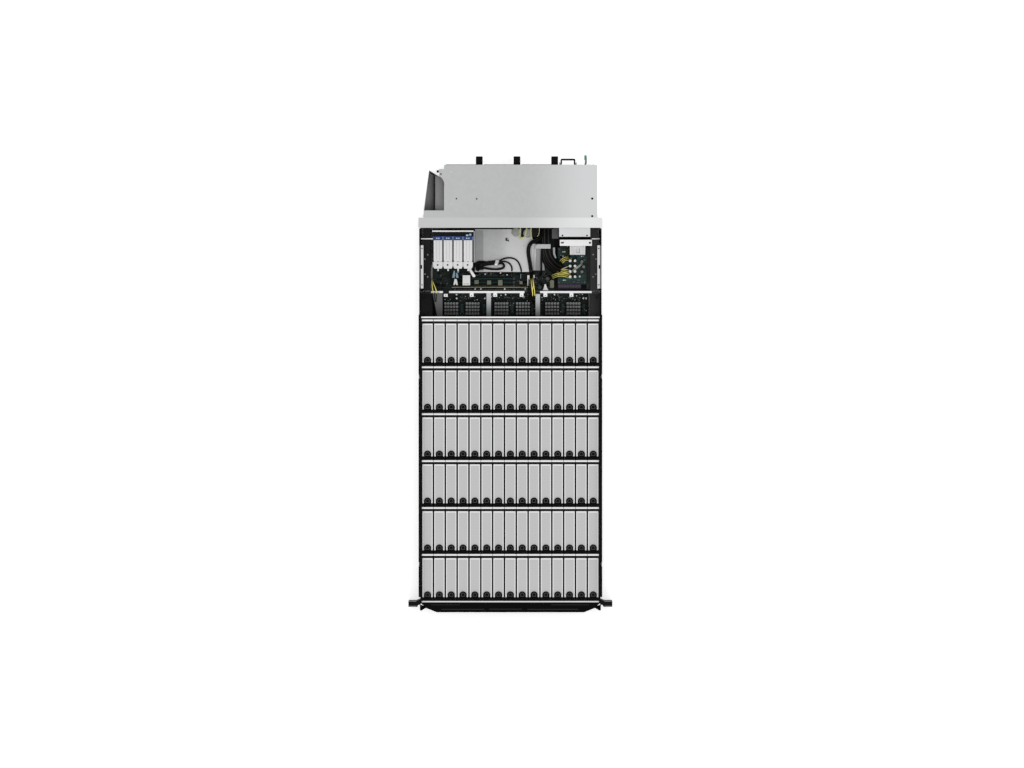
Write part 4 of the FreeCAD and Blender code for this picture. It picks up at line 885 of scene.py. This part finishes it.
PLUGS = [(142 + 11.5 * column, 773.5 + 12.7 * line) for line in range(4) for column in range(2)]
power = Piece("power_board_parts", "green_board", chip_black, 0.2, 1)
scatter(power, 114, 180, 757, 841, POWER_TOP, 46, bright_metal, grey_plastic, white_plastic,
        [(112, 136, 788, 812), (136, 160, 767, 819)])
power.boxes(ORIGIN, (96, 189.3, 738.6, 885, 3, 4.2), (181.4, 189.3, 744, 843, 4, 5, grey_plastic),
            (112.8, 168, 744.8, 755, POWER_TOP - 4, POWER_TOP + 9, purple_plastic))
for pin in range(14):
    power.block(116.5 + pin * 3.75, 750, 1, 3, POWER_TOP + 8.8, POWER_TOP + 9.8, grey_plastic)
for x, y in PLUGS:
    power.block(x, y, 4.9, 0.9, POWER_TOP + 3, POWER_TOP + 14.6)
    power.lathe([(3.4, 0), (3.4, 31), (2.8, 32), (0.8, 32.4)], (x, y - 1.5, POWER_TOP + 13.8),
                white_plastic, 14)
power.lathe([(2.4, 0), (2.4, 26), (1.6, 27)], (164.7, 773, POWER_TOP), white_plastic, 12)
for x, y in ((170, 784), (174, 796), (170, 808), (174, 826)):
    power.lathe([(5, 0), (5, 16), (4.4, 16.8), (4, 16.4)], (x, y, POWER_TOP - SUNK), sides=20)
    power.rod((x, y, POWER_TOP + 16), 3.8, 0.5, screw_grey, 20)
for x in (116, 177):
    for y in (759, 838):
        power.screw(x, y, POWER_TOP, 2.4, screw_grey, chip_black)
power.done()

ribs = Piece("bracket_fittings", "white_steel", white_plastic, 0.2)
for x in (124.5, 188.3):
    ribs.rod((x, 852, 157.6), 2, 0.5, chip_black)
    ribs.ring((x, 852, 157.9), 2.9, 0.4, bright_metal, 20)
ribs.boxes(ORIGIN, (117.5, 192.5, 856.8, 858.8, 157.7, 158.7),
           (141.6, 176, 823.6, 842.4, 156.4, 157, grey_sheet), (155, 156.4, 828, 838, 157.3, 157.8, dot_grey),
           (162.6, 164, 828, 838, 157.3, 157.8, dot_grey), (155, 164, 828, 829.2, 157.3, 157.8, dot_grey))
for rib in range(12):
    ribs.block(142.6 + rib * 2.9, 833.1, 0.5, 8.7, 156.8, 157.5)
ribs.done()

# Wiring; routes are listed one by one

FOOT = BOARD_TOP + 0.4
SWAY = 0.3


def spread(route, count, pitch, look=cable_black, rise=0):
    """A route as a flat bundle of wires side by side, uneven along their length."""
    routes = []
    for wire in range(count):
        offset = (wire - (count - 1) / 2) * pitch
        points = []
        for (x, y, z), behind, ahead in zip(route, route[:1] + route, route[1:] + route[-1:]):
            across = Vector((ahead[1] - behind[1], behind[0] - ahead[0]))
            across = across.normalized() if across.length > 0.5 else Vector((1, 0))
            reach = across * (offset + random.uniform(-SWAY, SWAY))
            points.append((x + reach.x, y + reach.y, z + random.uniform(-SWAY, SWAY) + rise))
        routes.append((points, look))
    return routes


TRUNK = [(-80, 780, FOOT), (-80, 782, 90), (-77, 796, 104), (-62.5, 802.5, 103), (-40, 805.5, 103),
         (-22, 807, 102)]
END_LOOP = [(-60, 806, 101), (-70, 807, 102), (-79, 805, 103), (-82, 799, 103), (-79, 793, 102.5),
            (-71, 791.5, 102), (-64, 792, 101)]
ARC_LONG = [(-30, 808, 104), (-22.2, 812, 105), (-11.6, 816.5, 103), (1.4, 817.3, 101.5), (13.3, 813.2, 101),
            (20.3, 804.9, 101), (25.1, 792.5, 101), (26, 783, 98), (25.5, 780, 60), (25, 779, FOOT)]
ARC_SHORT = [(-30, 807, 103), (-17.5, 809, 103), (-6.9, 806.7, 101.5), (0.2, 801.3, 101), (3.8, 793.1, 101),
             (3.5, 784, 98), (3.5, 781, 60), (3.5, 780, FOOT)]
ARC_BACK = [(-32, 806, 106), (-22.2, 804.8, 105.5), (-15, 801.2, 102), (-15, 794, 101), (-23.4, 790.1, 101),
            (-38.8, 788.9, 101), (-62.5, 792.5, 101.5), (-78, 796, 102)]
signal = spread(TRUNK, 4, 2.4) + spread(TRUNK, 3, 2.4, rise=2.6) + spread(END_LOOP, 2, 3.2)
signal += spread(ARC_LONG, 1, 2) + spread(ARC_SHORT, 1, 2) + spread(ARC_BACK, 2, 1.6)
wires("signal_wire_bundle", "black_cable", signal, 1.9, "black_cables")

LEAD = [(70, 929, 97), (74, 900, 104), (74, 868, 112), (62, 858.6, 113), (51.1, 854.6, 111), (44, 845.1, 108),
        (42.2, 829.8, 105), (45.8, 807.3, 103), (48.7, 789.5, 102), (49.3, 781.3, 98), (50, 778, 60),
        (50, 777, FOOT)]
SIDE_LEAD = [(78, 870, 108), (74.5, 836, 108), (73.3, 815, 104), (73.3, 790, 102), (73, 781, 95),
             (73, 778, FOOT)]
wires("fan_lead_pair", "black_cable", spread(LEAD, 2, 4.9) + spread(SIDE_LEAD, 1, 2), 2.4)

HARNESS = [(87, 929, 101), (87, 880, 107), (87.5, 852, 110), (88.5, 832, 109), (95, 814, 105), (108, 800, 95),
           (119, 794, 82), (125, 793, 62), (125, 793, 50)]
BRANCH = [(80, 900, 104), (82, 870, 106), (82, 846, 107), (80, 824, 104), (84, 806, 98), (96, 794, 88),
          (108, 786, 74), (118, 783, 58), (120, 783, 50)]
harness = []
for level, count in ((-5, 6), (-1.8, 7), (1.4, 8), (4.6, 7)):
    harness += spread(HARNESS, count, 3, rise=level)
for level, count in ((-4, 4), (-0.8, 5)):
    harness += spread(BRANCH, count, 3.2, rise=level)
# Every third strand is a lighter, glossier copy: a painted highlight that sets the strands apart
harness = [(points, cable_sheen if index % 3 == 2 else look) for index, (points, look) in enumerate(harness)]
wires("power_harness", "black_cable", harness, 1.6)

# Two yellow wires over the left end of the support rail, and the black ends they run into
yellow = [([(-186.3, 767, FOOT), (-186.2, 766, 120), (-186, 758, 144), (-184.6, 744, 155), (-183.2, 737, 156),
            (-181, 732, 153)], cable_yellow),
          ([(-181, 735, 153), (-180, 726, 154), (-178.6, 718, 153), (-178.2, 712, 151.8)], cable_black),
          ([(-185.4, 767, FOOT), (-185.2, 766, 121), (-182.8, 757, 144), (-177.6, 745, 155),
            (-175.4, 738, 156), (-175, 732, 153)], cable_yellow),
          ([(-175, 735, 153), (-175.4, 726, 154), (-175.8, 718, 153), (-176, 712, 151.8)], cable_black)]
# The bundle over the middle of the support rail
for route, count, pitch, look in (
        ([(51, 770, FOOT), (51.4, 768, 120), (52.8, 752, 154), (54.4, 738, 158), (55.2, 731, 158),
          (55.6, 726.5, 154)], 2, 5.2, cable_yellow),
        ([(52, 770, FOOT), (52.4, 766, 124), (54.6, 750, 156), (51.6, 738, 158), (53.2, 731, 158),
          (52.6, 727.5, 154)], 1, 2, cable_yellow),
        ([(52, 738, 156), (54, 730, 156), (54.6, 724, 150), (54.8, 716, 110), (55, 712, FOOT)], 3, 2.6,
         cable_black),
        ([(46, 770, FOOT), (46.4, 768, 110), (45, 752, 148), (44, 738, 155), (46, 728, 154), (49, 718, 120),
          (50, 712, FOOT)], 3, 2.6, cable_black)):
    yellow += spread(route, count, pitch, look)
# From the last two plugs to the supply bracket
for side, (x, y) in zip(SIDES, PLUGS[-2:]):
    run = [(x, y, POWER_TOP + 14.3), (x + 2 * side, y + 2, 98.3), (x + 8 * side, 856.6, 106.3)]
    yellow += spread(run, 2, 2.4, cable_black)
    yellow += spread(run, 1, 2.4, cable_yellow, -2.2)
# Groups that leave the plugs to the left
LOW, HIGH = POWER_TOP + 14, POWER_TOP + 34
for route, count, look in (
        ([(144, 773, LOW), (141, 772, HIGH - 8), (131.6, 776.5, HIGH), (117.4, 777.7, HIGH),
          (106, 775, HIGH - 8), (100, 772, HIGH - 26)], 3, cable_yellow),
        ([(144, 786, LOW), (140, 783.5, HIGH - 8), (131.6, 786, HIGH), (123.3, 786, HIGH),
          (115, 782, HIGH - 8), (110, 778, HIGH - 26)], 3, cable_yellow),
        ([(146, 799, LOW), (142, 797.5, HIGH - 8), (135.1, 795.8, HIGH), (126.8, 792.6, HIGH),
          (119, 790, HIGH - 8), (115, 788, HIGH - 26)], 1, pink_wire),
        ([(143, 812, LOW), (139, 815, HIGH - 8), (130, 815, HIGH + 2), (122.5, 809, HIGH + 2),
          (117, 802.5, HIGH - 4), (114, 798, HIGH - 26)], 3, cable_yellow)):
    yellow += spread(route, count, 3.8, look)
    yellow += spread(route, 2, 3.8, cable_black, 0.4)
PALE_RUN = [(148, 786, LOW), (150, 788, LOW + 10), (158, 794, LOW + 14), (165, 799, LOW + 10),
            (172, 806, LOW - 2), (176, 813, POWER_TOP)]
yellow += spread(PALE_RUN, 2, 2.4, pale_wire)
wires("yellow_wire_bundles", "yellow_cable", yellow, 0.95, "yellow_wires")

loops = []
for shift in (0, 1.9):
    loops.append(([(24.5 - shift, 915, 96), (24.5 - shift, 890, 101), (23.4 - shift, 874, 101),
                   (20.8 - shift, 864.6, 101), (25.4, 862 - shift, 101), (31.6 + shift, 864.6, 101),
                   (35 + shift, 873, 101), (38.1 + shift, 885, 101), (38.1 + shift, 915, 96)], loop_yellow))
    loops.append(([(69 + shift, 915, 96), (69 + shift, 888, 108), (68 + shift, 873, 108),
                   (62 + shift, 862.4, 108), (55, 858.6 - shift, 106), (50 - shift, 864, 104),
                   (49.6 - shift, 884, 102), (49.6 - shift, 915, 96)], loop_yellow))
wires("loop_wires", "yellow_cable", loops, 0.7)

STRAP_EDGE = [(68, 848.2, 119.6), (62, 847.4, 119), (58.4, 842, 116), (56.6, 832, 110), (55.8, 818, 103),
              (56.4, 802, 98), (57.6, 788, 96.2)]
wires("strap_edge", "light_plastic", [(STRAP_EDGE, strap_grey)], 1.3)

ties = Piece("cable_ties", "light_plastic", strap_grey, 0.3)
# Dark plates here and in the last outline below are painted shade of the deep interior
ties.boxes(ORIGIN, (-37.2, -31.4, 799.4, 803, 107.6, 112.4, white_plastic),
           (98.4, 113.8, 862, 885, 126, 127.4, painted_shade_inside),
           (98.4, 100, 862, 885, BOARD_TOP - SUNK, 127, painted_shade_inside))
for outline, z0, z1, look in (
        ([(-37.5, 801), (-30, 800.5), (-26.5, 810.6), (-34.5, 812)], 108, 110.6, strap_grey),
        ([(-48, 794.5), (-21, 794.5), (-19, 798), (-22, 800.2), (-46, 799.2)], BAFFLE_LOW, 99.6, grey_sheet),
        ([(60.5, 838.4), (60.5, 843.5), (62.5, 847.3), (66.5, 848.8), (95.2, 848.8), (95.2, 838.4)], 119.2,
         120.6, strap_grey),
        ([(58.6, 838.6), (60.6, 838.6), (60.6, 843.5), (59, 842)], 94.8, 120.4, strap_grey),
        ([(100.8, 841), (106, 841), (105.8, 828), (109, 816.5), (106.8, 815), (101.8, 824), (100.8, 834)],
         117, 118.4, strip_grey),
        ([(104.5, 841), (105.9, 841), (105.7, 828), (104.5, 827)], 3, 117.2, painted_shade_inside)):
    ties.plan(outline, z0, z1, look)
ties.done()

# Rear section: cover, duct and fan modules

cover = Piece("rear_cover_fasteners", "galvanised_steel", plated, 0)
for x, y, radius, sides, look in (
        (-127.8, 955.8, 1.9, 18, chip_black), (-79.7, 955.4, 1.9, 18, chip_black),
        (-140.1, 1019, 1.7, 18, plated), (-140.1, 943.4, 1.5, 18, plated), (193.5, 956, 2.7, 18, chip_black),
        (193.5, 914.5, 2.7, 18, chip_black), (-164.5, 1014, 2, 16, chip_black)):
    cover.lathe([(radius, 0), (radius, 0.5), (radius * 0.8, 0.51)], (x, y, TOP - 0.5), look, sides)
cover.done()

duct = Piece("duct_edge", "galvanised_steel", duct_grey, 0.2)
duct.box(-181.6, -179.6, 930, 1008, 90, 136, black_steel)
duct.plan([(-178.4, 929), (-158.4, 929), (-158.4, 1006), (-176, 1010.4), (-178.4, 1010.4)], 128.9, 130)
duct.plan([(-207, 914), (-182, 914), (-182, 1012), (-191, 1018.5)], 88.6, 89.8)
duct.lathe([(2.8, 0), (2.8, 4.6), (2.2, 5.2), (1, 5.4)], (-169.3, 1020.5, 164), black_steel, 18, (-1, 0, 0))
duct.done()

FAN_X = [-109.5 + 89.3 * index for index in range(FANS)]
FAN_Z = 131
HUB_Y = 1003.7
BLADE_Y = 1018.7
BLADES = 5
BLADE_ROOT = 17
BLADE_TIP = 36.4


def make_guard(label, x):
    """The wire guard, the screws, the grip and the lamp of a fan module."""
    guard = Piece("fan_guard_" + label, "black_plastic", black_steel, 0.2, 1, "fan_module_" + label)
    for radius in (23, 28, 33, 37.6):
        guard.ring((x, BACK - 0.9, FAN_Z), radius, 0.8, sides=40, axis=REARWARD)
    for turn in range(4):
        angle = math.radians(45 + 90 * turn)
        cosine, sine = math.cos(angle), math.sin(angle)
        guard.rod((x + 17 * cosine, BACK - 0.9, FAN_Z + 17 * sine), 0.8, 22, sides=8, axis=(cosine, 0, sine))
    for across in SIDES:
        for level in SIDES:
            guard.screw(x + 37.5 * across, BACK, FAN_Z + 36 * level, 2.6, bright_metal, chip_black, REARWARD)
    boss = [(16, 0), (16, 0.6), (12, 1.2), (4, 1.4)]
    guard.lathe(boss, (x, BACK - 0.2, FAN_Z), grey_plastic, 32, REARWARD)
    guard.boxes((x, BACK, FAN_Z), (-43, 43, -0.2, 0.9, 41.4, 43.2), (-43, 43, -0.2, 0.9, -43.2, -41.4),
                (28.15, 43.35, 14.4, 15.2, -15, 15, grey_plastic), (-39, -33, 0, 0.8, -3, 3, chip_black))
    for ridge in range(7):
        z = FAN_Z - 15 + ridge * 5
        guard.block(x + 35.75, BACK + 20.05, 7, 0.55, z - 0.9, z + 0.9, grey_plastic)
    guard.rod((x - 36, BACK + 0.6, FAN_Z), 1.3, 0.6, lamp_green, 12, REARWARD)
    guard.done()


def rotor_blade(piece, x, angle):
    """One curved, twisted fan blade: two sheets of points and the rim between them."""
    spans, chords = 6, 8
    half_thick = 0.7
    points = []
    for face in SIDES:
        for span in range(spans + 1):
            part = span / spans
            radius = BLADE_ROOT + (BLADE_TIP - BLADE_ROOT) * part
            twist = math.radians(52 - 16 * part)
            width = 21 + 4 * part
            for chord in range(chords + 1):
                t = chord / chords - 0.5
                bow = 2.6 * (1 - 4 * t * t)
                sweep = angle + (t * width * math.sin(twist) + 6 * part ** 2) / radius
                depth = t * width * math.cos(twist) + bow + face * half_thick
                points.append(Vector((x + radius * math.cos(sweep), BLADE_Y + depth,
                                      FAN_Z + radius * math.sin(sweep))))
    across = chords + 1
    sheet_size = (spans + 1) * across
    faces = []
    for span in range(spans):
        for chord in range(chords):
            a = span * across + chord
            faces.append([a, a + 1, a + across + 1, a + across])
            faces.append([sheet_size + index for index in (a + across, a + across + 1, a + 1, a)])
    rim = [span * across for span in range(spans)]
    rim += [spans * across + chord for chord in range(chords)]
    rim += [span * across + chords for span in range(spans, 0, -1)]
    rim += range(chords, 0, -1)
    for here, after in zip(rim, rim[1:] + rim[:1]):
        faces.append([here, after, sheet_size + after, sheet_size + here])
    piece.add(points, faces, [piece.look] * len(faces))


def make_rotor(label, x):
    """A hub with its blades, in place of the CAD rotor."""
    rotor = Piece("fan_blades_" + label, "black_plastic", black_plastic, 0, body="fan_rotor_" + label)
    hub = [(14, 0), (17.2, 2), (18, 5), (18, 29), (16.5, 30)]
    rotor.lathe(hub, (x, HUB_Y, FAN_Z), sides=40, axis=REARWARD)
    rotor.lathe([(11.5, 0), (11.5, 0.25), (3, 0.28)], (x, HUB_Y + 29.9, FAN_Z), grey_plastic, 32, REARWARD)
    for blade in range(BLADES):
        rotor_blade(rotor, x, 2 * math.pi * blade / BLADES)
    rotor.done("fan_rotor_" + label)


for index, x in enumerate(FAN_X):
    make_guard(str(index + 1), x)
    soften(nodes["fan_module_" + str(index + 1)], 0.6)
for index, x in enumerate(FAN_X):
    make_rotor(str(index + 1), x)

# Power supplies: face, wire bail and release lever

SUPPLY_LOW = 89
SUPPLY_PITCH = 41
INLET_X = 164.65
LEVER_X = 177.85
BAIL_X = (120.5, 152)
BAIL_Y = BACK + 3.025
BAIL_FAR = BACK + 13.25
BAIL_BEND = 3.5


def make_face(label, z, is_top):
    """Vents, inlet, lamp and screws on a supply's rear, and the contacts on its inner end."""
    face = Piece("supply_face_" + label, "supply_steel", vent_metal, 0.2, 1, "power_supply_" + label)
    face.boxes((0, BACK, z), (117.35, 155.15, -0.5, 0.35, -18, -5), (117.35, 155.15, -0.5, 0.35, 5, 18))
    face.boxes((INLET_X, BACK, z), (-7.4, -6.6, -13.6, 0.4, -12.3, 12.3, black_plastic),
               (6.6, 7.4, -13.6, 0.4, -12.3, 12.3, black_plastic),
               (-7.4, 7.4, -13.6, 0.4, -12.3, -11.5, black_plastic),
               (-7.4, 7.4, -13.6, 0.4, 11.5, 12.3, black_plastic),
               (-0.9, 0.9, -14, -3, -2.2, 2.2, bright_metal),
               (-4.1, -2.3, -14, -3, 3.8, 8.2, bright_metal), (-4.1, -2.3, -14, -3, -8.2, -3.8, bright_metal))
    face.rod((LEVER_X + 7.2, BACK - 0.2, z + 11), 1.3, 0.7, lamp_green, 12, REARWARD)
    for level in (-16.5, 16.5):
        face.screw(LEVER_X + 7, BACK, z + level, 1.7, bright_metal, chip_black, REARWARD)
    # Only the upper supply's top is in sight
    if is_top:
        for x in (123.3, 181.2):
            face.rod((x, 868.8, z + 19.9), 2.1, 0.3, chip_black)
            face.ring((x, 868.8, z + 20), 3, 0.35, bright_metal, 20)
    for pin in range(12):
        face.block(122 + pin * 5.2, 864.8, 1.5, 1.4, z - 14, z - 10, chip_black)
    face.done()


def make_bail(label, z):
    left, right = BAIL_X
    route = [(115.45, BAIL_Y), (119.1, BAIL_Y), (left, BAIL_Y), (left, BAIL_Y + 1.6),
             (left, BAIL_FAR - BAIL_BEND), (left, BAIL_FAR), (left + BAIL_BEND, BAIL_FAR),
             ((left + right) / 2, BAIL_FAR), (right - BAIL_BEND, BAIL_FAR), (right, BAIL_FAR),
             (right, BAIL_FAR - BAIL_BEND), (right, BAIL_Y + 1.6), (right, BAIL_Y), (right + 1.4, BAIL_Y),
             (right + 5.1, BAIL_Y)]
    wires("bail_wire_" + label, "bail_steel", [([(x, y, z) for x, y in route], black_steel)], 1.7,
          "supply_bail_" + label, body="supply_bail_" + label)


def make_lever(label, z):
    """Ridges and dark edges on a release lever."""
    thumb = Piece("lever_grip_" + label, "green_plastic", green_plastic, 0.15, body="supply_lever_" + label)
    for ridge in range(4):
        thumb.block(LEVER_X, BACK + 13.2 + ridge * 2.6, 2.7, 0.6, z - 6.2, z + 6.2)
    thumb.boxes((LEVER_X, BACK, z), (-2, 2, 1, 4, -6.6, 6.6, black_plastic),
                (0.8, 2.75, 3.6, 20, -6, 6.6, black_plastic))
    thumb.done()


for index in range(SUPPLIES):
    label = str(index + 1)
    middle = SUPPLY_LOW + SUPPLY_PITCH * index + 20
    make_face(label, middle, index == SUPPLIES - 1)
    make_bail(label, middle)
    make_lever(label, middle)
    soften(nodes["power_supply_" + label], 0.4)

# Rear ports: two network sockets, then two blue and two black pairs

PORT_X = [-88 + 24 * index for index in range(6)]
PORT_Z = BOARD_TOP + 8
ports = Piece("port_contacts", "supply_steel", chip_black, 0.1, 1)
for x in PORT_X[:2]:
    ports.boxes((x, 0, PORT_Z), (-6.9, 6.9, 1024.6, 1026, -6.4, 6.4),
                (-6.4, -4, 1026, 1034.2, 5.2, 6.6, lamp_green), (4, 6.4, 1026, 1034.2, 5.2, 6.6, lamp_green))
    for pin in range(8):
        ports.block(x - 4.35 + pin * 1.2, 1029, 0.25, 3, PORT_Z + 4.2, PORT_Z + 4.8, gold_metal)
for x, tongue in zip(PORT_X[2:], (blue_plastic, blue_plastic, chip_black, chip_black)):
    for z in (PORT_Z - 3.2, PORT_Z + 3.2):
        ports.block(x, 1029.2, 5.4, 4.2, z - 0.9, z + 0.9, tongue)
        for pin in range(4):
            ports.block(x - 3.8 + pin * 2.5, 1029.65, 0.5, 3.15, z - 1.15, z - 0.85, gold_metal)
    ports.block(x, 1029.6, 7, 5, PORT_Z - 0.5, PORT_Z + 0.5, bright_metal)
ports.done()

# Shell: screws, and the rails along the sides, carried on beside the compartment

shell = Piece("shell_fasteners", "galvanised_steel", bright_metal, 0.15)
for x, z in ((197, 20), (197, 70), (197, 160), (70, 66), (-40, 66), (-140, 66), (90, 20)):
    shell.screw(x, BACK, z, 2.6, bright_metal, chip_black, REARWARD)
for side in SIDES:
    outward = (side, 0, 0)
    for y in range(40, REAR_Y, 140):
        for z in (18, 160):
            shell.screw(side * WALL_X, y, z, 2.4, chip_black, ring_grey, outward)
    shell.block(side * 216.3, 348, 0.8, 324, 76, 99, black_steel)
    shell.block(side * 214.6, 784.4, 1.7, 102.2, 62, 113, black_steel)
    shell.block(side * 214.6, 794.5, 1.6, 50.5, 112.8, 113.6, strip_grey)
    for spot in range(10):
        shell.lathe([(4.2, 0), (4.2, 0.4), (3, 0.5)], (side * 216.9, 44 + spot * 66, 87.5), ring_grey,
                    axis=outward)
shell.done()

# Front bezel, its lamps and button, and the ears

GLINT_Z = (169.4, 170.2)
LAMP_SLANT = Vector((0.369, -0.929, 0))
front = Piece("bezel_mesh", "black_plastic", mesh_black, 0.15)
front.boxes(ORIGIN, (-166, 160, -19.5, -18.5, 12, 163), (-199, -195, -9.5, -2, 168.8, 169.95, black_plastic),
            (195, 199, -9.5, -2, 168.8, 169.95, black_plastic),
            (-164, -62, -16.3, -14.9, *GLINT_Z, glint_grey), (-50, 28, -15.9, -14.5, *GLINT_Z, glint_grey),
            (40, 160, -16.3, -14.9, *GLINT_Z, glint_grey),
            (-188, -120, -5.7, -4.3, *GLINT_Z, glint_dark), (96, 186, -5.7, -4.3, *GLINT_Z, glint_dark))
for index, look in enumerate((lamp_green, lamp_blue, lamp_green)):
    centre = Vector((184.5, -18.55, 112 + 9 * index))
    front.lathe([(2, 0), (2, 0.3), (1.4, 0.45)], centre - LAMP_SLANT * 0.1, chip_black, 14, LAMP_SLANT)
    front.lathe([(1.3, 0), (1.3, 0.3), (0.7, 0.5)], centre + LAMP_SLANT * 0.2, look, 14, LAMP_SLANT)
front.done()
button = Piece("button_mark", "black_plastic", grey_plastic, 0.1, 1, "power_button")
button.ring((168, -22.35, 87.5), 2.6, 0.3, axis=REARWARD)
button.box(167.7, 168.3, -22.6, -22.3, 88.2, 91, lamp_green)
button.done()
grips = Piece("ear_ridges", "black_plastic", black_plastic, 0.2)
for side in SIDES:
    for ridge in range(7):
        z = 69.5 + ridge * 6
        grips.block(side * 231, -10, 8, 0.5, z - 1.2, z + 1.2)
    # Grey strips along each ear's front and rear top edges: painted edge highlights
    for y in (-8.2, 3.6):
        grips.block(side * 231.5, y, 9, 0.8, 168.4, 169.2, screw_grey)
grips.done()

# Rounded edges on the CAD nodes
for name in ("front_bezel", "rack_ears"):
    soften(nodes[name], 0.6)
for name in ("chassis_base", "side_walls", "rear_cover", "cover_cross_brace", "bay_crossbars", "card_guides",
             "power_bracket", "support_rails", "midplane_connectors", "compartment_walls"):
    soften(nodes[name], 0.25, 1)
